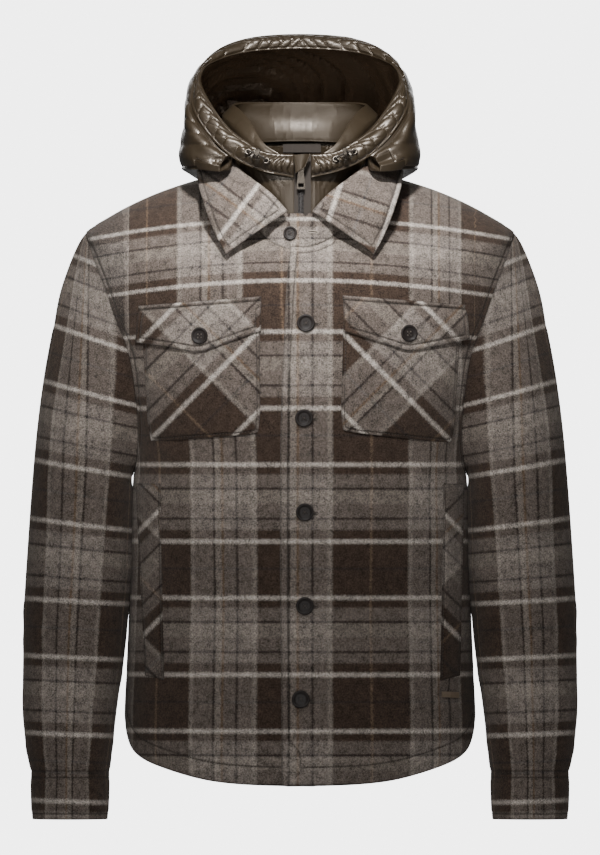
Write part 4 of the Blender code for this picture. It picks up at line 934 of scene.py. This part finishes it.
# Pockets and welts are cut on the cross
everyEdge = below(9.0)  # all of them lie lower
crossGrain = {"right": 0.3228, "left": 0.3600, "weft": -0.003}
laidPieces = {  # which edges are stitched, and how far in
    "pocket_bag": [(everyEdge, 2.6 * mm)],
    "pocket_flap": [(below(-0.150), 5.6 * mm)],
    "flap_ridge": [],
    "welt": [(everyEdge, 2.6 * mm)],
}


def onCross(points):
    x = np.abs(points[:, 0])
    z = points[:, 2]
    start = np.where(points[:, 0] < 0, crossGrain["right"], crossGrain["left"])
    return (-x + z) / math.sqrt(2) + start, (-x - z) / math.sqrt(2) + crossGrain["weft"]


for side, word in sideWords:
    for kind, rules in laidPieces.items():
        laid = Piece(kind + "_" + word, "wool", (0.15 * side, 0.5, -0.3))
        laid.move(0.9 * mm * ease(laid.rimGap, 0.0, 3.5 * mm), both=False)
        if rules:
            sewn(laid, rules)
        laid.weave(*onCross(laid.points))
print("pockets made")


# Padded nylon: hood, rim, inner collar and bib. Height and reach are in millimetres
nylonWaves = {
    "hood_panel": {"turn": "ring", "orders": (13, 17, 22), "height": 2.6, "sink": 1.0, "reach": 40,
                   "slant": 3.0, "seed": 4, "inside": "lining"},
    "hood_rim": {"turn": "ring", "orders": (21, 26, 31), "height": 2.2, "sink": 1.0, "reach": 60,
                 "slant": 9.0, "seed": 9, "level": 4},
    "bib_collar": {"turn": "neck", "orders": (5, 7, 9), "height": 0.8, "sink": 0.35, "reach": 12,
                   "slant": 6.0, "seed": 12},
    "bib_front_left": {"turn": "neck", "orders": (31, 44), "height": 1.2, "sink": 0.35, "reach": 11,
                       "slant": 7.0, "seed": 21},
    "bib_front_right": {"turn": "neck", "orders": (31, 44), "height": 1.2, "sink": 0.35, "reach": 11,
                        "slant": 7.0, "seed": 23},
    "bib_back": {"turn": "neck", "orders": (24, 40), "height": 1.4, "sink": 0.35, "reach": 20,
                 "slant": 1.0, "seed": 25},
    "zip_guard": {"thinner": 0.6, "crease": 1.0},
}
padMiddle = {"height": 0.060, "depth": 0.030}
hoodShape = {"lift": 4.5 * mm, "between": (0.100, 0.150), "narrow": 0.018, "waist": 0.080, "tall": 0.030}
liningFolds = {"depth": 8 * mm, "lift": 0.2, "twist": 0.8, "pitch": 26, "orders": (4, 6, 9), "seed": 44}
hoodSeam = {"inset": 2.6 * mm, "groove": 0.5 * mm, "width": 1.6 * mm}
hoodStitch = {"pitch": 3.2 * mm, "length": 2.3 * mm, "thick": 0.3 * mm}


# Round swellings between sharp pulled creases, 0 in a crease and 1 on top
def puffs(turn, orders, seed):
    return 1.0 - np.exp(-3.0 * np.abs(ripple(turn, orders, seed)))


# Angle round the face opening, as seen from the front, or round the neck, as seen from above
def padTurn(points, kind):
    if kind == "ring":
        return np.arctan2(points[:, 0], points[:, 2] - padMiddle["height"])
    return np.arctan2(points[:, 0], -(points[:, 1] - padMiddle["depth"]))


def padWaves(pad, plan):
    gap = pad.rimGap
    if "thinner" in plan:
        thinner = np.full(len(gap), -plan["thinner"] * mm)
        return thinner, thinner
    turn = padTurn(pad.points, plan["turn"])
    lean = plan["slant"] * gap * np.sign(pad.points[:, 0])
    near = puffs(turn + lean, plan["orders"], plan["seed"])
    wide = puffs(turn - 0.6 * lean, plan["orders"][:2], plan["seed"] + 1)
    strength = ease(gap, 0.0, 4.0 * mm) * np.exp(-gap / (plan["reach"] * mm))
    quilted = near * strength + 0.4 * wide * ease(gap, 2 * mm, 12 * mm) - plan["sink"]
    outer = plan["height"] * mm * quilted
    if "inside" not in plan:
        return outer, 0.8 * outer
    twist = liningFolds["twist"] * np.sin(liningFolds["pitch"] * pad.points[:, 1])
    loose = puffs(turn + twist, liningFolds["orders"], liningFolds["seed"]) - liningFolds["lift"]
    return outer, liningFolds["depth"] * loose * ease(gap, 2 * mm, 22 * mm)


for node, plan in nylonWaves.items():
    pad = Piece(node, "nylon", (0, 0.03, 0.06), plan.get("level", 3), plan.get("crease", 0.45),
                plan.get("inside"))
    onHood = plan.get("turn") == "ring"
    if onHood:
        pad.points[:, 2] += hoodShape["lift"] * ease(pad.points[:, 2], *hoodShape["between"])
        waist = bump(pad.points[:, 2] - hoodShape["waist"], hoodShape["tall"])
        pad.points[:, 0] *= 1 - hoodShape["narrow"] * waist
    pad.swell(*padWaves(pad, plan))
    if onHood:
        pad.sewAt([(everyEdge, hoodSeam["inset"])])
        pad.move(-hoodSeam["groove"] * bump(pad.stitchGap, hoodSeam["width"]), both=False)
        stitches(node + "_stitches", pad.contour(), **hoodStitch)
    pad.keepSeams()
print("padding made")


# Closed round tubes along lines of points, as one piece
def tubes(name, lines, radius, look, sides=6):
    points = []
    faces = []
    for line in lines:
        line = np.array(line)
        ahead = unit(np.gradient(line, axis=0))
        start = np.array([0.0, 0.0, 1.0]) if abs(ahead[0][2]) < 0.8 else np.array([1.0, 0.0, 0.0])
        side = unit(np.cross(ahead[0], start))
        base = len(points)
        for k, p in enumerate(line):
            side = unit(side - ahead[k] * np.dot(side, ahead[k]))
            high = np.cross(ahead[k], side)
            for t in np.linspace(0, 2 * math.pi, sides, endpoint=False):
                points.append(p + radius * (side * math.cos(t) + high * math.sin(t)))
        for k in range(len(line) - 1):
            low = base + k * sides
            for i in range(sides):
                n = (i + 1) % sides
                faces.append((low + i, low + n, low + sides + n, low + sides + i))
        end = base + (len(line) - 1) * sides
        faces.append([base + i for i in range(sides)][::-1])
        faces.append([end + i for i in range(sides)])
    tube = newObject(name, points, faces, look)
    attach(tube, "garment")


# Foot, axis and radius of a turned node, its axis pointing the way of guess
def nodeAxis(name, guess):
    work = welded(name)
    points = np.array([v.co[:] for v in work.verts])
    work.free()
    middle = 0.5 * (points.max(axis=0) + points.min(axis=0))
    way = np.linalg.eigh(np.cov((points - middle).T))[1][:, 0]
    if np.dot(way, guess) < 0:
        way = -way
    along = (points - middle) @ way
    radius = np.linalg.norm(points - middle - np.outer(along, way), axis=1).max()
    return middle + way * along.min(), way, radius


def acrossOf(way):
    side = unit(np.cross((0.0, 0.0, 1.0), way))
    return side, np.cross(way, side)


# Rings of points round an axis; rows are (radius, height)
def turned(base, way, rows, segments):
    side, high = acrossOf(way)
    points = []
    for radius, height in rows:
        for t in np.linspace(0, 2 * math.pi, segments, endpoint=False):
            points.append(base + way * height + radius * (side * math.cos(t) + high * math.sin(t)))
    faces = []
    for r in range(len(rows) - 1):
        low = r * segments
        for k in range(segments):
            n = (k + 1) % segments
            faces.append((low + k, low + n, low + segments + n, low + segments + k))
    return points, faces


# Buttons: turned, with a raised rim, four holes painted near-black inside as shade, and crossed thread;
# lengths for a radius of 10
button = {
    "rows": [(7.6, 0.0), (9.2, 0.5), (10.0, 1.4), (9.75, 2.1), (9.2, 2.6), (8.4, 2.7), (7.5, 2.3),
             (6.8, 1.5), (6.2, 1.15), (5.2, 1.1)],
    "segments": 40,
    "face": 1.1,
    "spacing": 1.9,
    "hole": 0.95,
    "holeSides": 12,
    "holeDepth": 1.2,
    "threadPath": [(0, -0.8), (0, 0.05), (1, 0.35), (2, 0.05), (2, -0.8)],  # half bars across, height
    "threadLevel": 1.15,
    "thread": 0.3,
    "sharp": math.radians(42),
}


def makeButton(name, guess):
    base, way, radius = nodeAxis(name, guess)
    k = radius / 10.0
    segments = button["segments"]
    count = button["holeSides"]
    points, faces = turned(base, way, [(r * k, h * k) for r, h in button["rows"]], segments)
    side, high = acrossOf(way)
    work = bmesh.new()
    verts = [work.verts.new(p) for p in points]
    for face in faces:
        work.faces.new([verts[i] for i in face])
    inner = verts[-segments:]
    loops = [work.edges.get((inner[i], inner[(i + 1) % segments])) for i in range(segments)]
    holes = []
    for sx, sz in ((1, 1), (-1, 1), (-1, -1), (1, -1)):
        centre = base + way * button["face"] * k + (side * sx + high * sz) * button["spacing"] * k
        ring = [work.verts.new(centre + button["hole"] * k * (side * math.cos(t) + high * math.sin(t)))
                for t in np.linspace(0, 2 * math.pi, count, endpoint=False)]
        loops += [work.edges.new((ring[i], ring[(i + 1) % count])) for i in range(count)]
        holes.append(ring)
    bmesh.ops.triangle_fill(work, use_beauty=True, use_dissolve=False, edges=loops, normal=Vector(way))
    # The hole walls and floors take the painted hole shade
    for ring in holes:
        low = [work.verts.new(Vector(v.co) - Vector(way) * button["holeDepth"] * k) for v in ring]
        for i in range(count):
            j = (i + 1) % count
            work.faces.new([ring[i], ring[j], low[j], low[i]]).material_index = 1
        work.faces.new(low).material_index = 1
    bmesh.ops.recalc_face_normals(work, faces=work.faces)
    mesh = bpy.data.meshes.new("horn_" + name)
    work.to_mesh(mesh)
    work.free()
    mesh.materials.append(looks["horn"])
    mesh.materials.append(looks["holeShade"])
    for face in mesh.polygons:
        face.use_smooth = True
    disc = linked("horn_" + name, mesh)
    mesh.set_sharp_from_angle(angle=button["sharp"])
    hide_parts(name)
    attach(disc, "garment")
    bars = []
    for sx in (1, -1):
        a = base + way * button["threadLevel"] * k + (side * sx + high) * button["spacing"] * k
        b = base + way * button["threadLevel"] * k - (side * sx + high) * button["spacing"] * k
        bars.append([a + 0.5 * halves * (b - a) + way * lift * k for halves, lift in button["threadPath"]])
    tubes(name + "_thread", bars, button["thread"] * k, "thread")
    return base


buttonBases = [makeButton(name, (0, -1, 0)) for name in frontButtons]
for side, word in sideWords:
    makeButton("button_flap_" + word, (0, -1, 0))
    makeButton("button_cuff_" + word, (0, 1, 0))
makeButton("button_collar", (0, -1, 0))


# Buttonholes: a worked slit to the viewer's right of each front button
hole = {
    "wide": 1.3 * mm,
    "collarWide": 1.2 * mm,
    "thread": 0.55 * mm,
    "slit": 0.35 * mm,
    "before": 8 * mm,  # from the button's middle
    "after": 13.6 * mm,
    "drop": (1.2 * mm, 1.4 * mm),
    "lift": 0.15 * mm,
    "slitLift": 0.02 * mm,
}
cover = {}


# Foremost point of the named pieces at x, z, lifted along the cloth's normal
def coverPoint(names, x, z, lift):
    best = None
    for name in names:
        if name not in cover:
            work = bmesh.new()
            work.from_mesh(pieces[name].mesh)
            cover[name] = BVHTree.FromBMesh(work)
            work.free()
        hit, normal = cover[name].ray_cast(Vector((x, -0.6, z)), Vector((0, 1, 0)))[:2]
        if hit is not None and (best is None or hit.y < best[0].y):
            best = (hit, normal if normal.y < 0 else -normal)
    return np.array(best[0]) + np.array(best[1]) * lift


# Ring of close thread round a slit from a to b, both given as (x, z); a thin dark tube along the slit is
# painted shade in the cut
def buttonhole(name, names, a, b, wide, look):
    a = np.array(a)
    b = np.array(b)
    way = unit(b - a)
    out = np.array([-way[1], way[0]]) * wide
    line = [a * (1 - t) + b * t + out for t in np.linspace(0, 1, 14)]
    for t in np.linspace(math.pi / 2, -math.pi / 2, 7)[1:-1]:
        line.append(b + way * wide * math.cos(t) + out * math.sin(t))
    line += [a * (1 - t) + b * t - out for t in np.linspace(1, 0, 14)]
    tubes(name, [[coverPoint(names, *p, hole["lift"]) for p in line]], hole["thread"], look)
    # Painted shade: a thin dark tube lies along the middle of the slit
    middle = [a * (1 - t) + b * t for t in np.linspace(0, 1, 12)]
    tubes(name + "_slitShade", [[coverPoint(names, *p, hole["slitLift"]) for p in middle]], hole["slit"], "cord")


for k, base in enumerate(buttonBases):
    buttonhole("buttonhole_%d" % (k + 1), ["front_left"],
               (base[0] - hole["before"], base[2] - hole["drop"][0]),
               (base[0] + hole["after"], base[2] - hole["drop"][1]), hole["wide"], "thread")
buttonhole("buttonhole_collar", ["collar_stand", "front_left"], fromView(308.5, 231.5),
           fromView(317.0, 232.5), hole["collarWide"], "paleThread")
print("buttons made")


# Zip: two rows of teeth, a slider and its pull
teeth = {"pitch": 1.5 * mm, "tall": 1.5 * 0.85 * mm, "deep": 1.5 * mm, "overlap": 0.5 * mm,
         "reach": 3.0 * mm, "set": 0.4 * mm, "top": 5.6 * mm, "foot": -195 * mm}
toothRing = [(0.0, -0.3), (-0.15, 0.0), (0.0, 0.3), (1.0, 0.42), (1.0, -0.42)]  # shares of deep and tall
coilLow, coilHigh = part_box("zip_coil")
coilMiddle = 0.5 * (coilLow[0] + coilHigh[0])
points = []
faces = []
for k in range(int((teeth["top"] - teeth["foot"]) / teeth["pitch"])):
    z = teeth["foot"] + k * teeth["pitch"]
    hit = surfaceOf("zip_coil").ray_cast(Vector((coilMiddle, -0.6, z)), Vector((0, 1, 0)))[0]
    if hit is None:
        continue
    for side in (1, -1):
        level = z + (0.5 * teeth["pitch"] if side > 0 else 0.0)
        base = len(points)
        for x in (coilMiddle - side * teeth["overlap"], coilMiddle + side * teeth["reach"]):
            for dy, dz in toothRing:
                points.append((x, hit.y + teeth["set"] + dy * teeth["deep"], level + dz * teeth["tall"]))
        for i in range(5):
            n = (i + 1) % 5
            faces.append((base + i, base + n, base + 5 + n, base + 5 + i))
        faces.append([base + i for i in range(5)][::-1])
        faces.append([base + 5 + i for i in range(5)])
zipTeeth = newObject("zip_teeth", points, faces, "horn", smooth=False)
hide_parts("zip_coil")
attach(zipTeeth, "garment")


# Gives a frame node its finish, and eased edges
def relook(name, look, bevel=0.0):
    node = nodes[name]
    node.data.materials.clear()
    node.data.materials.append(looks[look])
    if bevel:
        edges = node.modifiers.new("eased", "BEVEL")
        edges.width = bevel
        edges.segments = 2
        edges.limit_method = "ANGLE"


relook("zip_slider", "metal", 0.35 * mm)
relook("zip_pull", "metal", 0.18 * mm)
relook("hem_plate", "bronze", 0.2 * mm)
relook("zip_tape", "tape")
relook("neck_tape", "tape", 0.1 * mm)


# Drawcord fittings
eyelet = {
    "rows": [(1.75, 0.1), (1.9, 0.75), (2.4, 1.15), (3.1, 1.15), (3.8, 0.7), (4.05, 0.05), (3.9, -0.35),
             (1.9, -0.35), (1.75, 0.1)],
    "segments": 28,
    "facing": (0.0, -1.0, 0.3),
}
eyes = {}
for side, word in sideWords:
    eyes[word] = []
    for k in (1, 2):
        name = "eyelet_%s_%d" % (word, k)
        base, way, radius = nodeAxis(name, eyelet["facing"])
        eyes[word].append((base, way))
        rows = [(r * mm, h * mm) for r, h in eyelet["rows"]]
        ring = newObject("metal_" + name, *turned(base, way, rows, eyelet["segments"]), "metal")
        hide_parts(name)
        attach(ring, "garment")
print("fittings made")

cordPlan = {"radius": 1.2 * mm, "points": 15, "rise": 10 * mm, "bevel": 3, "lockEdge": 0.4 * mm}
for word in ("right", "left"):
    (a, firstWay), (b, secondWay) = eyes[word]
    rise = unit(firstWay + secondWay)
    path = []
    for k in range(cordPlan["points"]):
        t = math.pi * k / (cordPlan["points"] - 1)
        path.append(0.5 * (a + b) - 0.5 * (b - a) * math.cos(t) + rise * cordPlan["rise"] * math.sin(t))
    curve = bpy.data.curves.new("cord_" + word, "CURVE")
    curve.dimensions = "3D"
    curve.bevel_depth = cordPlan["radius"]
    curve.bevel_resolution = cordPlan["bevel"]
    curve.use_fill_caps = True
    line = curve.splines.new("POLY")
    line.points.add(len(path) - 1)
    for k, p in enumerate(path):
        line.points[k].co = (*p, 1.0)
    cord = linked("cord_" + word, curve)
    curve.materials.append(looks["cord"])
    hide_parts("drawcord_" + word)
    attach(cord, "garment")
    relook("cord_lock_" + word, "metal", cordPlan["lockEdge"])


# Floor, light and camera
floorPlan = {"half": 3, "level": -0.95, "glow": 2.2}
half = floorPlan["half"]
square = ((-half, -half), (half, -half), (half, half), (-half, half))
corners = [(x, y, floorPlan["level"]) for x, y in square]
floor = newObject("floor", corners, [(0, 1, 2, 3)], "floor", smooth=False)
floorTree = looks["floor"].node_tree
floorShader = floorTree.nodes["Principled BSDF"]
floorSeen = add(floorTree, "ShaderNodeLightPath").outputs["Is Camera Ray"]
floorGlow = calc(floorTree, "MULTIPLY", floorSeen, floorPlan["glow"])
floorTree.links.new(floorGlow, floorShader.inputs["Emission Strength"])
floorShader.inputs["Emission Color"].default_value = (1.0, 1.0, 1.0, 1.0)

room = {"seen": 4.6, "fill": 0.08}
world = bpy.data.worlds.new("paleRoom")
bpy.context.scene.world = world
world.use_nodes = True
sky = world.node_tree.nodes["Background"]
seen = add(world.node_tree, "ShaderNodeLightPath").outputs["Is Camera Ray"]
sky.inputs[0].default_value = (1.0, 1.0, 1.0, 1.0)
strength = calc(world.node_tree, "MULTIPLY_ADD", seen, room["seen"], room["fill"])
world.node_tree.links.new(strength, sky.inputs[1])

# Place, target, width, height, watts
softLights = {
    "topSoft": ((0.0, -0.9, 1.25), (0, -0.05, -0.1), 1.1, 0.5, 6.5),
    "leftSoft": ((-0.9, -0.8, 0.6), (-0.1, 0, 0.08), 0.25, 0.7, 1.1),
    "rightSoft": ((0.9, -0.8, 0.6), (0.1, 0, 0.08), 0.25, 0.7, 1.1),
    "lowSoft": ((0.0, -2.0, -0.3), (0, 0, -0.6), 0.6, 0.6, 9),
    "backSoft": ((0.0, 2.0, 0.7), (0, 0, -0.3), 1.6, 1.2, 22),
    "hoodFill": ((-0.5, -0.85, 0.22), (0, 0.1, 0.10), 0.2, 0.15, 1.8),
}
chestPool = {"place": (0.0, -1.55, 1.35), "target": (0, -0.06, 0.045), "angle": 18, "power": 540,
             "soft": 0.16}


def hangLight(name, lamp, place, target):
    holder = linked(name, lamp)
    holder.location = place
    holder.rotation_euler = (Vector(target) - Vector(place)).to_track_quat("-Z", "Y").to_euler()


for name, (place, target, wide, high, power) in softLights.items():
    lamp = bpy.data.lights.new(name, "AREA")
    lamp.shape = "RECTANGLE"
    lamp.size = wide
    lamp.size_y = high
    lamp.energy = power
    hangLight(name, lamp, place, target)

pool = bpy.data.lights.new("chestPool", "SPOT")
pool.energy = chestPool["power"]
pool.spot_size = math.radians(chestPool["angle"])
pool.spot_blend = 1.0
pool.shadow_soft_size = chestPool["soft"]
hangLight("chestPool", pool, chestPool["place"], chestPool["target"])

view = {"height": 855, "lens": 1100, "sensor": 36, "far": 100, "front": -0.07}
lens = bpy.data.cameras.new("longLens")
lens.lens = view["lens"]
lens.sensor_width = view["sensor"]
lens.sensor_fit = "AUTO"
lens.clip_end = view["far"]
reach = view["height"] * pixel * view["lens"] / view["sensor"]
camera = linked("longLens", lens)
camera.location = (0.0, view["front"] - reach, (viewMiddle[1] - 0.5 * view["height"]) * pixel)
camera.rotation_euler = (math.pi / 2, 0, 0)
bpy.context.scene.camera = camera
print("light and camera made")
